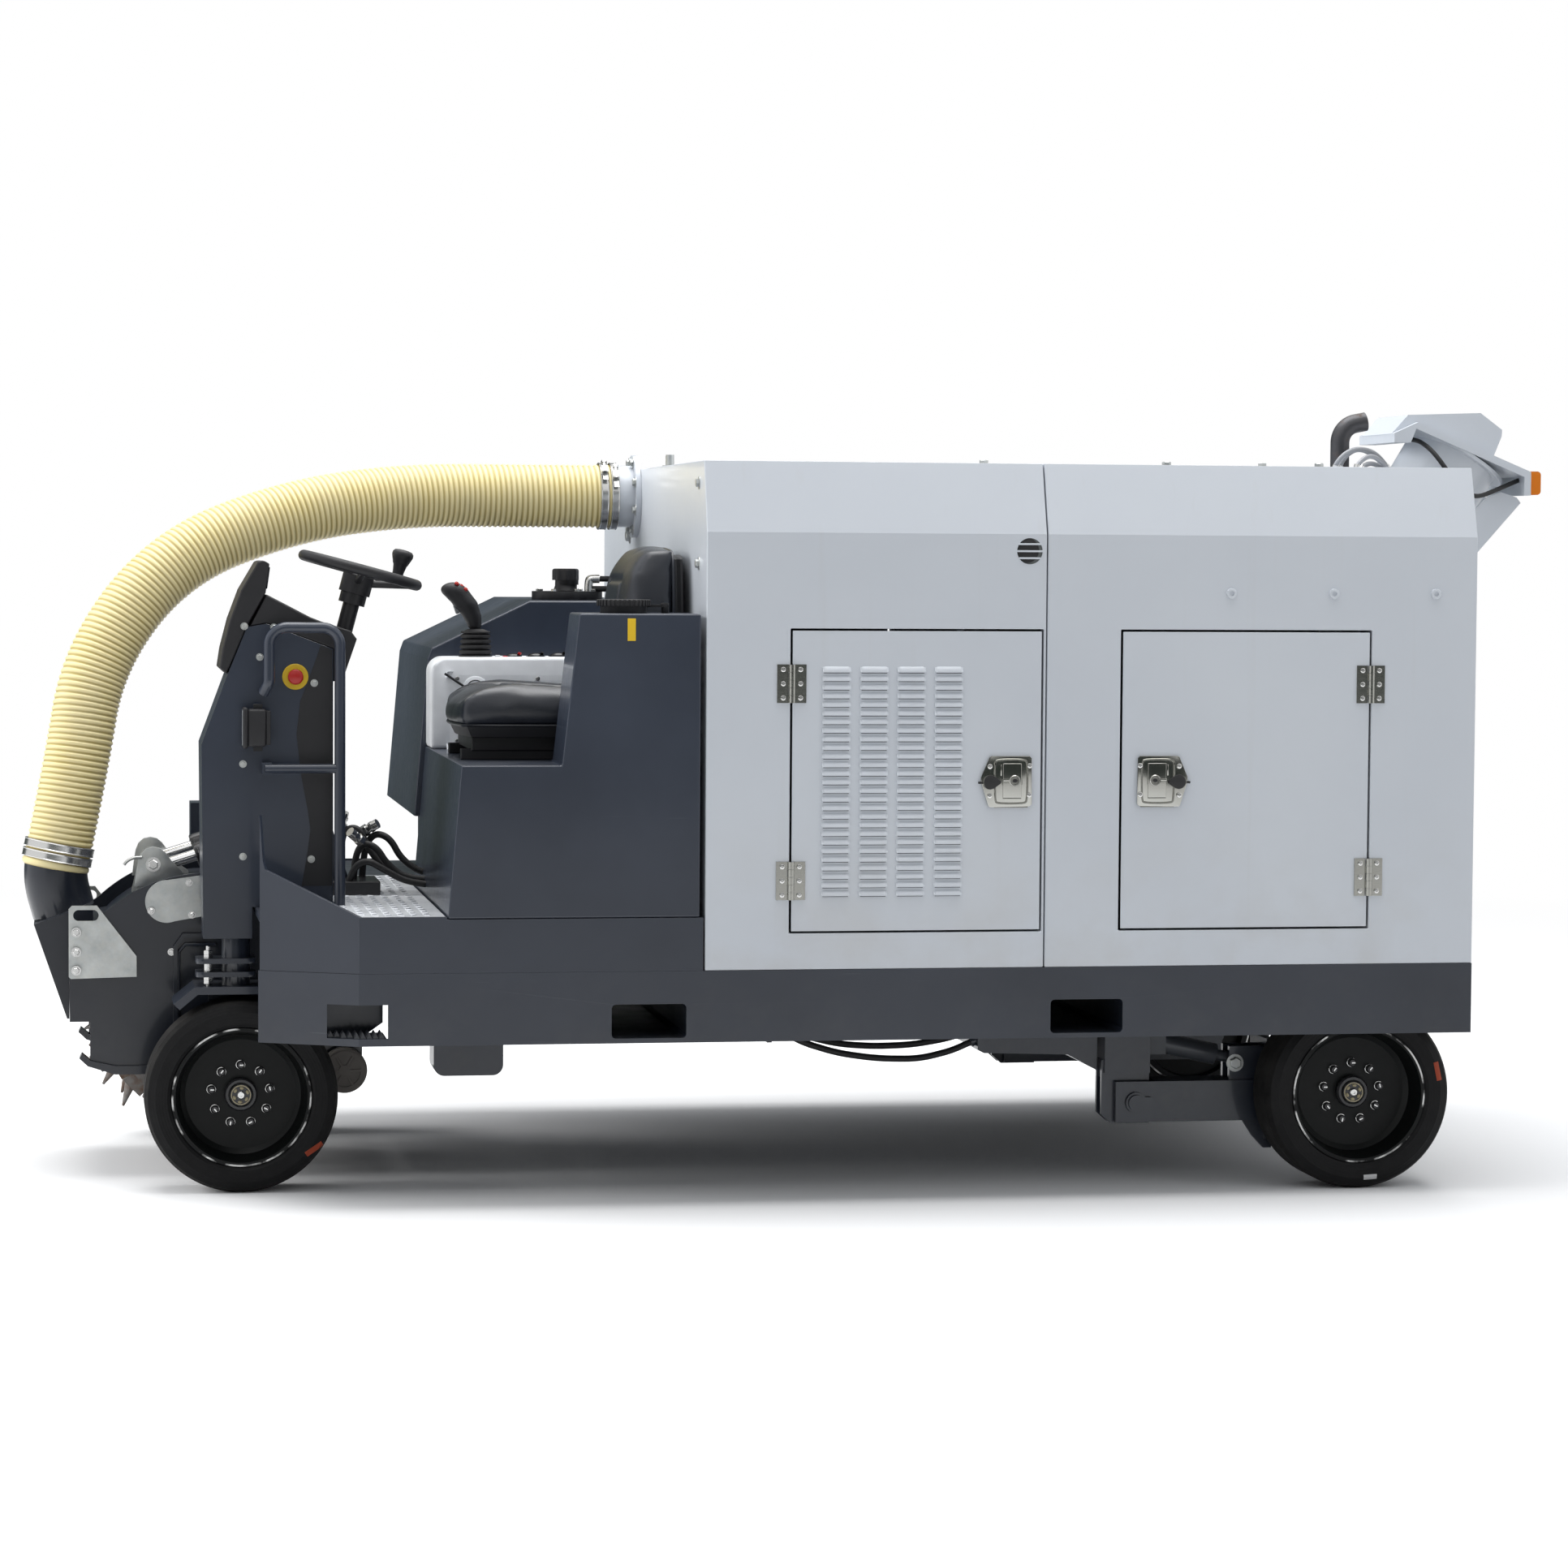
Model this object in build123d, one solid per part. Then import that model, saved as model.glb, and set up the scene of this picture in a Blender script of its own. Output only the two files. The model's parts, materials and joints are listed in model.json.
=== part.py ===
from build123d import *
from math import atan2, cos, degrees, hypot, pi, radians, sin, tan
import os

# Cold planer with suction recovery: a ride-on milling machine on four wheels.
# Millimetres. +X is the rear, +Y the right-hand side, +Z up.
# The origin lies on the ground, in the middle of the machine's length and width.

# Overall layout
wall_x = -372.6            # front wall of the white enclosure
half_width = 950.0
gap = 0.3                  # between pieces that seat on each other
moving_gap = 5.0           # between a moving piece and its frame

# Chassis
frame_bottom = 391.0
frame_top = 559.0
enclosure_length = 1871.0
frame_rear = wall_x + enclosure_length
rail_width = 60.0
deck_thickness = 10.0
floor_z = 690.0
corner_bend_x = wall_x - 807.0      # where the side plate turns inwards
front_end_x = wall_x - 1032.0
front_end_y = half_width - 115.0
side_plate_t = 12.0
fork_pocket_centres = (wall_x - 131.0, wall_x + 918.0)
fork_pocket_length = 188.0
fork_pocket_height = 92.0
fork_pocket_wall = 6.0

# Enclosure
seam_x = wall_x + 811.0
seam_gap = 3.0
crease_z = 1584.0
roof_z = 1751.0
roof_inset = 53.0
wall_t = 36.0
skin_t = 4.0
door_low = 650.0
door_high = 1355.0
door_pad_inset = 14.0
hinge_offset = 8.0
hinge_height = 90.0

# Wheels
wheel_r = 230.0
tyre_width = 160.0
rim_r = 166.0
dish_depth = 70.0
front_wheel_x = wall_x - 1060.0
front_wheel_y = 507.0
rear_wheel_x = wall_x + 1627.0
rear_wheel_y = half_width - 180.0
nut_count = 9
nut_circle_r = 71.0

# Milling head
drum_x = wall_x - 1130.0
drum_z = 371.0
drum_tip_r = 298.0
drum_core_r = 215.0
drum_length = 520.0
head_half = drum_length / 2 + 40.0
head_plate_t = 12.0
head_hood_r = 376.0
head_pivot_x = wall_x - 690.0
head_pivot_z = 470.0
head_pivot_r = 22.0

# Suction hose
hose_r = 82.0
hose_low = (wall_x - 1487.0, 0.0, 797.0)
flange_y = 285.0
flange_z = 1681.0


def block(x, y, z):
    """A box between pairs of low and high values."""
    size = Box(x[1] - x[0], y[1] - y[0], z[1] - z[0])
    return Pos((x[0] + x[1]) / 2, (y[0] + y[1]) / 2, (z[0] + z[1]) / 2) * size


def side_profile(points, y):
    """A profile of (x, z) points carried from y[0] to y[1]."""
    outline = Polyline(*[(px, y[0], pz) for px, pz in points], close=True)
    return extrude(make_face(outline), amount=y[1] - y[0], dir=(0, 1, 0))


def end_profile(points, x):
    """A profile of (y, z) points carried from x[0] to x[1]."""
    outline = Polyline(*[(x[0], py, pz) for py, pz in points], close=True)
    return extrude(make_face(outline), amount=x[1] - x[0], dir=(1, 0, 0))


def plan_profile(points, z):
    """A profile of (x, y) points carried from z[0] to z[1]."""
    outline = Polyline(*[(px, py, z[0]) for px, py in points], close=True)
    return extrude(make_face(outline), amount=z[1] - z[0], dir=(0, 0, 1))


def bar(start, end, radius):
    """A round bar between two points."""
    run = Vector(end) - Vector(start)
    plane = Plane(origin=start, z_dir=run)
    low = (Align.CENTER, Align.CENTER, Align.MIN)
    return plane * Cylinder(radius, run.length, align=low)


def across(x, z, radius, y):
    """A round bar along Y at (x, z)."""
    return bar((x, y[0], z), (x, y[1], z), radius)


def other_side(shape):
    """The same shape on the right-hand side."""
    return mirror(shape, about=Plane.XZ)


def group(*shapes):
    """Solids that share a node without touching."""
    return Compound(children=[solid for shape in shapes for solid in shape.solids()])


nodes = {}


# Chassis frame: side rails, cross members and the two fork pockets
def corner_plate(low, high):
    """The plate at the left front corner, with its bend, between two heights."""
    inner = side_plate_t
    points = [
        (corner_bend_x + 110, -half_width),
        (corner_bend_x, -half_width),
        (front_end_x, -front_end_y),
        (front_end_x, -front_end_y + inner),
        (corner_bend_x + 2, -half_width + inner),
        (corner_bend_x + 110, -half_width + inner),
    ]
    return plan_profile(points, (low, high))


rail_front = corner_bend_x + 110
rail_y = (-half_width, -half_width + rail_width)
left_rail = block((rail_front, frame_rear), rail_y, (frame_bottom, frame_top))
step_opening = block(
    (corner_bend_x - 71, corner_bend_x + 68),
    (-half_width - 20, -half_width + 90),
    (frame_bottom + 17, frame_bottom + 96),
)
left_side = left_rail + (corner_plate(frame_bottom, frame_top) - step_opening)

# Step inside the side opening: a tray and the panel behind it
step_in = -half_width + 150
step_front = corner_bend_x - 69
step_rear = corner_bend_x + 66
tray_edge_y = -half_width + side_plate_t - 1
tray = plan_profile(
    [
        (step_rear, tray_edge_y),
        (corner_bend_x + 2, tray_edge_y),
        (step_front, tray_edge_y + 34),
        (step_front, step_in),
        (step_rear, step_in),
    ],
    (frame_bottom + 8, frame_bottom + 16),
)
panel_outline = [
    (step_front, frame_bottom + 8),
    (step_rear - 46, frame_bottom + 8),
    (step_rear, frame_bottom + 40),
    (step_rear, frame_top - 6),
    (step_front, frame_top - 6),
]
left_side += tray + side_profile(panel_outline, (step_in - 6, step_in))
cross_z = (frame_bottom + 6, frame_top - deck_thickness + 1)
cross_half = half_width - rail_width + 10
cross_members = [
    block((wall_x + at, wall_x + at + 60), (-cross_half, cross_half), cross_z)
    for at in (-620, 420, 1190, 1811)
]
frame_parts = left_side + other_side(left_side)
for member in cross_members:
    frame_parts += member
for centre in fork_pocket_centres:
    reach = half_width - 0.5
    pocket_x = (centre - fork_pocket_length / 2, centre + fork_pocket_length / 2)
    pocket_z = (frame_bottom + 5, frame_bottom + 5 + fork_pocket_height)
    outer = block(pocket_x, (-reach, reach), pocket_z)
    outer = fillet(outer.edges().filter_by(Axis.Y), 14)
    wall = fork_pocket_wall
    inner = block(
        (pocket_x[0] + wall, pocket_x[1] - wall),
        (-half_width - 5, half_width + 5),
        (pocket_z[0] + wall, pocket_z[1] - wall),
    )
    inner = fillet(inner.edges().filter_by(Axis.Y), 10)
    frame_parts = frame_parts + outer - inner
nodes["chassis_frame"] = frame_parts

deck_half = half_width - rail_width + 2
nodes["chassis_frame"] += block(
    (wall_x - 560, frame_rear - 2),
    (-deck_half, deck_half),
    (frame_top - deck_thickness, frame_top),
)


# Front platform: skirts, the raised corners and the treaded floor
corner_top = 794.0
fin_top = 921.0
notch_half = 335.0                  # the milling head comes up between these
notch_x = wall_x - 840.0

plate_z = floor_z - 6.0             # the platform's own top, under the tread plate
skirt_y = (-half_width, -half_width + side_plate_t)
skirt = block((corner_bend_x, wall_x - 604), skirt_y, (frame_top + 13, floor_z))
skirt += block((wall_x - 605, wall_x - 4), skirt_y, (frame_top + 13, plate_z))
skirt_flat_y = (-half_width, -half_width + 40)
skirt_flat = block((corner_bend_x, wall_x - 4), skirt_flat_y, (frame_top + gap, frame_top + 13))
bend_run = hypot(corner_bend_x - front_end_x, half_width - front_end_y)
bend_angle = degrees(atan2(half_width - front_end_y, corner_bend_x - front_end_x))
corner_outline = [
    (0, frame_top + gap),
    (bend_run, frame_top + gap),
    (bend_run, fin_top),
    (bend_run - 8, corner_top + 20),
    (bend_run - 14, corner_top),
    (0, floor_z),
]
corner_sheet = side_profile(corner_outline, (0, side_plate_t))
corner_sheet = mirror(corner_sheet, about=Plane.YZ)
corner_sheet = Pos(corner_bend_x + 3, -half_width, 0) * Rot(0, 0, -bend_angle) * corner_sheet
platform_floor = plan_profile(
    [
        (wall_x - 4, -half_width + side_plate_t),
        (corner_bend_x, -half_width + side_plate_t),
        (front_end_x + 5, -front_end_y + side_plate_t + 4),
        (front_end_x + 5, -notch_half),
        (notch_x, -notch_half),
        (notch_x, notch_half),
        (front_end_x + 5, notch_half),
        (front_end_x + 5, front_end_y - side_plate_t - 4),
        (corner_bend_x, half_width - side_plate_t),
        (wall_x - 4, half_width - side_plate_t),
    ],
    (plate_z - 16, plate_z),
)
platform_posts = [
    block((wall_x + at, wall_x + at + 50), (y, y + 50), (frame_top + gap, floor_z - 20))
    for at in (-560, -60)
    for y in (-half_width + 70, -25, half_width - 120)
]
platform = platform_floor + skirt + skirt_flat + corner_sheet
platform += other_side(skirt + skirt_flat + corner_sheet)
for post in platform_posts:
    platform += post
nodes["platform"] = platform

# The tread plate lies on the platform, left of the middle
tread_plate = plan_profile(
    [
        (wall_x - 606, -half_width + 16),
        (wall_x - 796, -half_width + 16),
        (wall_x - 836, -half_width + 44),
        (wall_x - 836, notch_half),
        (wall_x - 606, notch_half),
    ],
    (plate_z + gap, floor_z),
)
nodes["tread_plate"] = tread_plate


# Enclosure: two welded shells with door openings
def shell_section(offset):
    """The enclosure's cross-section, drawn in by an offset."""
    half = half_width - offset
    top = roof_z - offset
    inset = roof_inset - offset * 0.3
    return [
        (-half, frame_top - 5),
        (-half, crease_z - offset * 0.15),
        (-half + inset, top),
        (half - inset, top),
        (half, crease_z - offset * 0.15),
        (half, frame_top - 5),
    ]


def shell(x, front_wall, rear_wall):
    outer = end_profile(shell_section(0), x)
    hollow = (x[0] + (wall_t if front_wall else -1), x[1] - (wall_t if rear_wall else -1))
    body = outer - end_profile(shell_section(wall_t), hollow)
    return body - block((x[0] - 5, x[1] + 5), (-1200, 1200), (frame_top - 50, frame_top + gap))


# name, front edge, rear edge (from the front wall), hinge edge: -1 front, 1 rear
door_table = (
    ("front", 204.0, 800.0, -1),
    ("rear", 998.0, 1605.0, 1),
)


def door_opening(low_x, high_x):
    x = (wall_x + low_x - moving_gap, wall_x + high_x + moving_gap)
    z = (door_low - moving_gap, door_high + moving_gap)
    return block(x, (-half_width - 10, -half_width + wall_t + 10), z)


front_shell = shell((wall_x, seam_x), True, False)
rear_shell = shell((seam_x + seam_gap, frame_rear), False, True)
for name, low_x, high_x, hinge in door_table:
    cut = door_opening(low_x, high_x)
    if name == "front":
        front_shell = front_shell - cut - other_side(cut)
    else:
        rear_shell = rear_shell - cut - other_side(cut)

# The rear wall lets the discharge tube out, and holds the cooling grille
tube_notch_half = 134.0
tube_notch = block(
    (frame_rear - wall_t - 20, frame_rear + 10),
    (-tube_notch_half, tube_notch_half),
    (980, 1650),
)
grille_y = 330.0
grille_z = (610.0, 940.0)
grille_opening = block((frame_rear - wall_t - 20, frame_rear + 10), (-grille_y, grille_y), grille_z)
rear_shell = rear_shell - tube_notch - grille_opening
nodes["front_shell"] = front_shell
nodes["rear_shell"] = rear_shell

# Rear grille: a frame with slats
grille_x = (frame_rear - 26, frame_rear + 6)
grille_in = gap
grille_rim = 30.0
grille_outer_y = (-grille_y + grille_in, grille_y - grille_in)
grille_outer_z = (grille_z[0] + grille_in, grille_z[1] - grille_in)
grille_inner_y = (-grille_y + grille_rim, grille_y - grille_rim)
grille_inner_z = (grille_z[0] + grille_rim, grille_z[1] - grille_rim)
grille_frame = block(grille_x, grille_outer_y, grille_outer_z)
grille_frame -= block((grille_x[0] - 5, grille_x[1] + 5), grille_inner_y, grille_inner_z)
slat_count = 10
slat_step = (grille_z[1] - grille_z[0] - 2 * grille_rim) / slat_count
for index in range(slat_count):
    z = grille_z[0] + grille_rim + slat_step * (index + 0.5)
    slat = Pos(frame_rear - 10, 0, z) * Rot(0, 40, 0) * Box(26, 2 * grille_y - 50, 3)
    grille_frame += slat
nodes["rear_grille"] = grille_frame


# Doors: a skin with pressed louvres over an inner pad
louvre_columns = (274.0, 364.0, 453.0, 543.0)     # front edge of each column
louvre_length = 68.0
louvre_rows = 27
louvre_first_z = 1258.0
louvre_step = 20.2
louvre_proud = 7.0


def louvre(x, z):
    """One pressed hood, open at its lower edge."""
    outline = [(0, 13), (-louvre_proud, 2), (-louvre_proud, 0), (0, 0)]
    points = [(-half_width + py + 0.5, z + pz) for py, pz in outline]
    return end_profile(points, (x, x + louvre_length))


def door(low_x, high_x, louvred):
    x = (wall_x + low_x, wall_x + high_x)
    skin = block(x, (-half_width, -half_width + skin_t), (door_low, door_high))
    inset = door_pad_inset
    pad = block(
        (x[0] + inset, x[1] - inset),
        (-half_width + skin_t - 1, -half_width + wall_t - 4),
        (door_low + inset, door_high - inset),
    )
    panel = skin + pad
    if louvred:
        hoods = [
            louvre(wall_x + column, louvre_first_z - louvre_step * row)
            for column in louvre_columns
            for row in range(louvre_rows)
        ]
        panel = panel.fuse(*hoods)
    return panel


# Hinges outside the skin, and a latch with its dish and T-handle
hinge_z = ((1186.0, 1186.0 + hinge_height), (724.0, 724.0 + hinge_height))
leaf_w = 27.0
leaf_t = 3.0
latch_w = 118.0
latch_h = 122.0
latch_z = 1000.0
latch_x = {"front": 720.0, "rear": 1092.0}
knuckle_r = hinge_offset - 0.4


def knuckle_leaf(edge_x, toward, z_range, parts):
    """A hinge leaf at z_range, with its knuckles in the named fifths."""
    leaf_x = sorted((edge_x + toward * (knuckle_r + 0.5), edge_x + toward * (knuckle_r + leaf_w)))
    face = -half_width - gap
    leaf = block(leaf_x, (face - leaf_t, face), z_range)
    fifth = (z_range[1] - z_range[0]) / 5
    for part in parts:
        low = z_range[0] + fifth * part + 0.3
        high = z_range[0] + fifth * (part + 1) - 0.3
        pin_y = -half_width - hinge_offset
        barrel = bar((edge_x, pin_y, low), (edge_x, pin_y, high), knuckle_r)
        web_x = sorted((edge_x, edge_x + toward * (knuckle_r + 2)))
        web = block(web_x, (face - leaf_t, face), (low, high))
        leaf = leaf + barrel + web
    return leaf


def latch(name):
    """A surface latch: plate with a pressed dish, T-handle and lock cap."""
    toward = 1 if name == "rear" else -1      # the lock cap's side
    x = wall_x + latch_x[name]
    face = -half_width - gap
    w = latch_w / 2
    h = latch_h / 2
    outline = [
        (x - w * 0.82 if toward > 0 else x - w * 0.55, h),
        (x + w * 0.55 if toward > 0 else x + w * 0.82, h),
        (x + w * 1.02 if toward > 0 else x + w * 0.82, 0),
        (x + w * 0.55 if toward > 0 else x + w * 0.82, -h),
        (x - w * 0.82 if toward > 0 else x - w * 0.55, -h),
        (x - w * 0.82 if toward > 0 else x - w * 1.02, 0),
    ]
    plate = side_profile([(px, latch_z + pz) for px, pz in outline], (face - 5, face))
    dish_x = x - toward * 10
    dish = block((dish_x - 34, dish_x + 34), (face - 6, face - 1.5), (latch_z - 42, latch_z + 42))
    plate -= fillet(dish.edges().filter_by(Axis.Y), 8)
    handle = block((dish_x - 7, dish_x + 7), (face - 9, face - 1.5), (latch_z - 30, latch_z + 30))
    crossbar = block((dish_x - 24, dish_x + 24), (face - 9, face - 3), (latch_z - 7, latch_z + 7))
    cap = across(x + toward * 46, latch_z, 15, (face - 12, face - 4))
    return plate + handle + crossbar + cap


frame_leaves = []
for name, low_x, high_x, hinge in door_table:
    louvred = name == "front"
    panel = door(low_x, high_x, louvred)
    edge_x = wall_x + (low_x if hinge < 0 else high_x) + hinge * moving_gap / 2
    fittings = [latch(name)]
    for z_range in hinge_z:
        fittings.append(knuckle_leaf(edge_x, -hinge, z_range, (1, 3)))
        frame_leaves.append(knuckle_leaf(edge_x, hinge, z_range, (0, 2, 4)))
    for side in ("left", "right"):
        if side == "right":
            panel = other_side(panel)
            fittings = [other_side(piece) for piece in fittings]
        nodes[f"{name}_door_{side}"] = panel
        nodes[f"{name}_door_fittings_{side}"] = group(*fittings)
nodes["hinge_leaves"] = group(*frame_leaves, *[other_side(leaf) for leaf in frame_leaves])


# Engine and collecting bin inside the enclosure, as plain blocks
nodes["engine_block"] = block((wall_x + 190, wall_x + 690), (-380, 380), (frame_top + gap, 1230))
bin_x = (wall_x + 1010, wall_x + 1620)
nodes["collecting_bin"] = block(bin_x, (-480, 480), (frame_top + gap, 1440))


# Seat box with the water tank on its left, one welded piece
box_front_low = wall_x - 601.0
box_front_high = wall_x - 571.0
box_top = 1040.0
box_far_y = 40.0
tank_far_y = -752.0
tank_top = 1393.0
box_rear = wall_x - 13.0
seat_box = side_profile(
    [
        (box_rear, plate_z + gap),
        (box_front_low, plate_z + gap),
        (box_front_high, box_top),
        (box_rear, box_top),
    ],
    (-half_width, box_far_y),
)
tank = side_profile(
    [
        (box_rear, box_top - 5),
        (wall_x - 338, box_top - 5),
        (wall_x - 298, tank_top),
        (box_rear, tank_top),
    ],
    (-half_width, tank_far_y),
)
nodes["seat_box"] = seat_box + tank

tank_cap_x = wall_x - 182.0
tank_cap_y = -850.0
cap_neck = bar((tank_cap_x, tank_cap_y, tank_top + gap), (tank_cap_x, tank_cap_y, tank_top + 18), 55)
cap_lid = bar((tank_cap_x, tank_cap_y, tank_top + 17), (tank_cap_x, tank_cap_y, tank_top + 32), 62)
cap_arm_y = (tank_cap_y - 8, tank_cap_y + 8)
cap_arm = block((tank_cap_x, tank_cap_x + 105), cap_arm_y, (tank_top + 14, tank_top + 20))
cap_post = bar((tank_cap_x + 98, tank_cap_y, tank_top + gap), (tank_cap_x + 98, tank_cap_y, tank_top + 24), 9)
water_cap = cap_neck + cap_lid + cap_arm + cap_post

# Tank housing on the right, with the filler and its breather
hood_y = (box_far_y + gap, half_width - 2)
hood_bottom = 862.0
hood_outline = [
    (wall_x - 4, plate_z + gap),
    (wall_x - 515, plate_z + gap),
    (wall_x - 515, hood_bottom),
    (wall_x - 600, hood_bottom),
    (wall_x - 566, 1262),
    (wall_x - 556, 1290),
    (wall_x - 306, 1411),
    (wall_x - 4, 1411),
]
nodes["tank_housing"] = side_profile(hood_outline, hood_y)
housing_top = 1411.0
filler_x = wall_x - 180.0
filler_y = 300.0
filler = bar((filler_x, filler_y, housing_top + gap), (filler_x, filler_y, housing_top + 22), 92)
filler += bar((filler_x, filler_y, housing_top + 20), (filler_x, filler_y, housing_top + 40), 26)
filler += bar((filler_x, filler_y, housing_top + 39), (filler_x, filler_y, housing_top + 74), 30)
nodes["tank_caps"] = group(water_cap, filler)

# White console between the seat and the tank housing
console_y = (-105.0, box_far_y)
console_outline = [
    (wall_x - 60, box_top + gap),
    (wall_x - 562, box_top + gap),
    (wall_x - 562, 1262),
    (wall_x - 60, 1272),
]
console = side_profile(console_outline, console_y)
front_corner = console.edges().filter_by(Axis.Z).sort_by(Axis.X)[0:1]
console = fillet(front_corner, 34)
nodes["console"] = console
console_top = 1263.0
stick_x = wall_x - 462.0
stick_y = -45.0
boot = bar((stick_x, stick_y, console_top + 2 + gap), (stick_x, stick_y, console_top + 14), 42)
for ring in range(4):
    z = console_top + 13 + 13 * ring
    boot += bar((stick_x, stick_y, z), (stick_x, stick_y, z + 9), 38 - 2.5 * ring)
    boot += bar((stick_x, stick_y, z + 8), (stick_x, stick_y, z + 14), 31 - 2.5 * ring)
boot += bar((stick_x, stick_y, console_top + 60), (stick_x - 20, stick_y, console_top + 124), 17)
boot += bar((stick_x - 20, stick_y, console_top + 120), (stick_x - 80, stick_y, console_top + 184), 20)
rocker_pitch = 62.0
rockers = []
for index in range(3):
    rocker_x = (wall_x - 415 + rocker_pitch * index, wall_x - 371 + rocker_pitch * index)
    rise = 1.25 * index
    rockers.append(block(rocker_x, (-80, -20), (1266.3 + rise, 1277 + rise)))
nodes["console_controls"] = group(boot, *rockers)

# Seat: slide, cushion and backrest
seat_y = (-half_width + 228.0, -half_width + 702.0)
slide = block((wall_x - 545, wall_x - 90), (-660, -630), (box_top + gap, box_top + 26))
slide += block((wall_x - 545, wall_x - 90), (-340, -310), (box_top + gap, box_top + 26))
slide += block((wall_x - 520, wall_x - 20), (-665, -305), (box_top + 22, box_top + 54))
nodes["seat_slide"] = slide
cushion = side_profile(
    [
        (wall_x - 95, box_top + 54 + gap),
        (wall_x - 535, box_top + 54 + gap),
        (wall_x - 572, 1130),
        (wall_x - 556, 1180),
        (wall_x - 480, 1212),
        (wall_x - 95, 1200),
    ],
    seat_y,
)
nodes["seat_cushion"] = cushion
back = side_profile(
    [
        (wall_x - 88, box_top + 54 + gap),
        (wall_x - 15, box_top + 54 + gap),
        (wall_x - 4, 1530),
        (wall_x - 60, 1552),
        (wall_x - 120, 1500),
        (wall_x - 165, 1400),
        (wall_x - 150, 1290),
        (wall_x - 88, 1206),
    ],
    (seat_y[0] + 12, seat_y[1] - 12),
)
nodes["seat_back"] = back


# Steering tower on the left, with its black cowl and display
tower_y = (-560.0, -345.0)
leg_box = (wall_x - 1150, wall_x - 1034)
leg_low = 609.0
tower = side_profile(
    [
        (leg_box[0], leg_low),
        (wall_x - 1154, 1072),
        (wall_x - 1092, 1240),
        (wall_x - 1046, 1352),
        (wall_x - 1000, 1360),
        (wall_x - 842, 1300),
        (wall_x - 842, plate_z + gap),
        (leg_box[1], plate_z + gap),
        (leg_box[1], leg_low),
    ],
    tower_y,
)
leg_slot = block((leg_box[0] - 8, leg_box[1] + 1), (tower_y[1] - 95, tower_y[1] + 5), (leg_low - 5, floor_z))
tower -= leg_slot
column_r = 34.0
king_pin_y = 507.0
king_pin_x = wall_x - 1071.0
leg_bore_top = 1010.0
king_bore_r = column_r + gap
king_bore = bar((king_pin_x, -king_pin_y, leg_low - 5), (king_pin_x, -king_pin_y, leg_bore_top), king_bore_r)
tower -= king_bore
nodes["steering_tower"] = tower

cowl = side_profile(
    [
        (wall_x - 1040, 1353.4),
        (wall_x - 1000, 1430),
        (wall_x - 896, 1376),
        (wall_x - 870, 1366),
        (wall_x - 800, 1344),
        (wall_x - 785, 1324),
        (wall_x - 815, 1237),
        (wall_x - 841.7, 1222),
        (wall_x - 841.7, 1300.2),
        (wall_x - 1000, 1360.3),
    ],
    (tower_y[0] + 2, tower_y[1] - 2),
)
display = side_profile(
    [
        (wall_x - 1111, 1254),
        (wall_x - 1104, 1300),
        (wall_x - 1086, 1370),
        (wall_x - 1060, 1440),
        (wall_x - 1020, 1508),
        (wall_x - 1008, 1511),
        (wall_x - 993, 1503),
        (wall_x - 1002, 1433.5),
        (wall_x - 1046.6, 1353),
        (wall_x - 1085, 1262.4),
        (wall_x - 1096, 1240),
    ],
    (tower_y[0] - 4, tower_y[1] + 4),
)
nodes["tower_cowl"] = group(cowl, display)

# Emergency stop and work lamp on the tower's side
stop_x = wall_x - 932.0
stop_z = 1234.0
stop = across(stop_x, stop_z, 31, (tower_y[0] - 4 - gap, tower_y[0] - gap))
stop += across(stop_x, stop_z, 15, (tower_y[0] - 22, tower_y[0] - 3))
lamp = block((wall_x - 1048, wall_x - 1002), (tower_y[0] - 62, tower_y[0] - 6), (1068, 1160))
lamp += block((wall_x - 1060, wall_x - 1047), (tower_y[0] - 66, tower_y[0] - 2), (1063, 1165))
lamp += block((wall_x - 1022, wall_x - 1000), (tower_y[0] - 40, tower_y[0] - gap), (1080, 1110))
nodes["tower_fittings"] = group(stop, lamp)

# Handrail in front of the tower
rail_r = 13.0
rail_y_mid = -610.0
rail_x = (wall_x - 996, wall_x - 829)
rail_top = 1352.0
rail_path = FilletPolyline(
    (rail_x[0] - 12, rail_y_mid + 18, 1196),
    (rail_x[0], rail_y_mid, 1222),
    (rail_x[0], rail_y_mid, rail_top),
    (rail_x[1], rail_y_mid, rail_top),
    (rail_x[1], rail_y_mid, floor_z + gap),
    radius=(14, 42, 42),
)
rail_section = Plane(origin=rail_path @ 0, z_dir=rail_path % 0) * Circle(rail_r)
handrail = sweep(rail_section, path=rail_path)
lower_rail = bar((wall_x - 1006, rail_y_mid, 1017), (rail_x[1], rail_y_mid, 1017), rail_r - 2)
clamp_foot = block((wall_x - 1012, wall_x - 990), (rail_y_mid - 6, tower_y[0] - gap), (1003, 1031))
top_foot = bar((rail_x[0] - 12, rail_y_mid + 18, 1200), (rail_x[0] - 12, tower_y[0] - gap, 1200), 11)
nodes["handrail"] = handrail + lower_rail + clamp_foot + top_foot

# Right-hand leg box, the mirror of the one in the tower
right_leg = block(leg_box, (king_pin_y - 55, king_pin_y + 55), (leg_low, 874))
right_leg -= bar((king_pin_x, king_pin_y, leg_low - 5), (king_pin_x, king_pin_y, 860), king_bore_r)
leg_foot_y = (king_pin_y - 55, king_pin_y + 55)
right_leg += block((leg_box[1] - 1, leg_box[1] + 90), leg_foot_y, (plate_z + gap, plate_z + 12))
nodes["right_leg"] = right_leg

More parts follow.
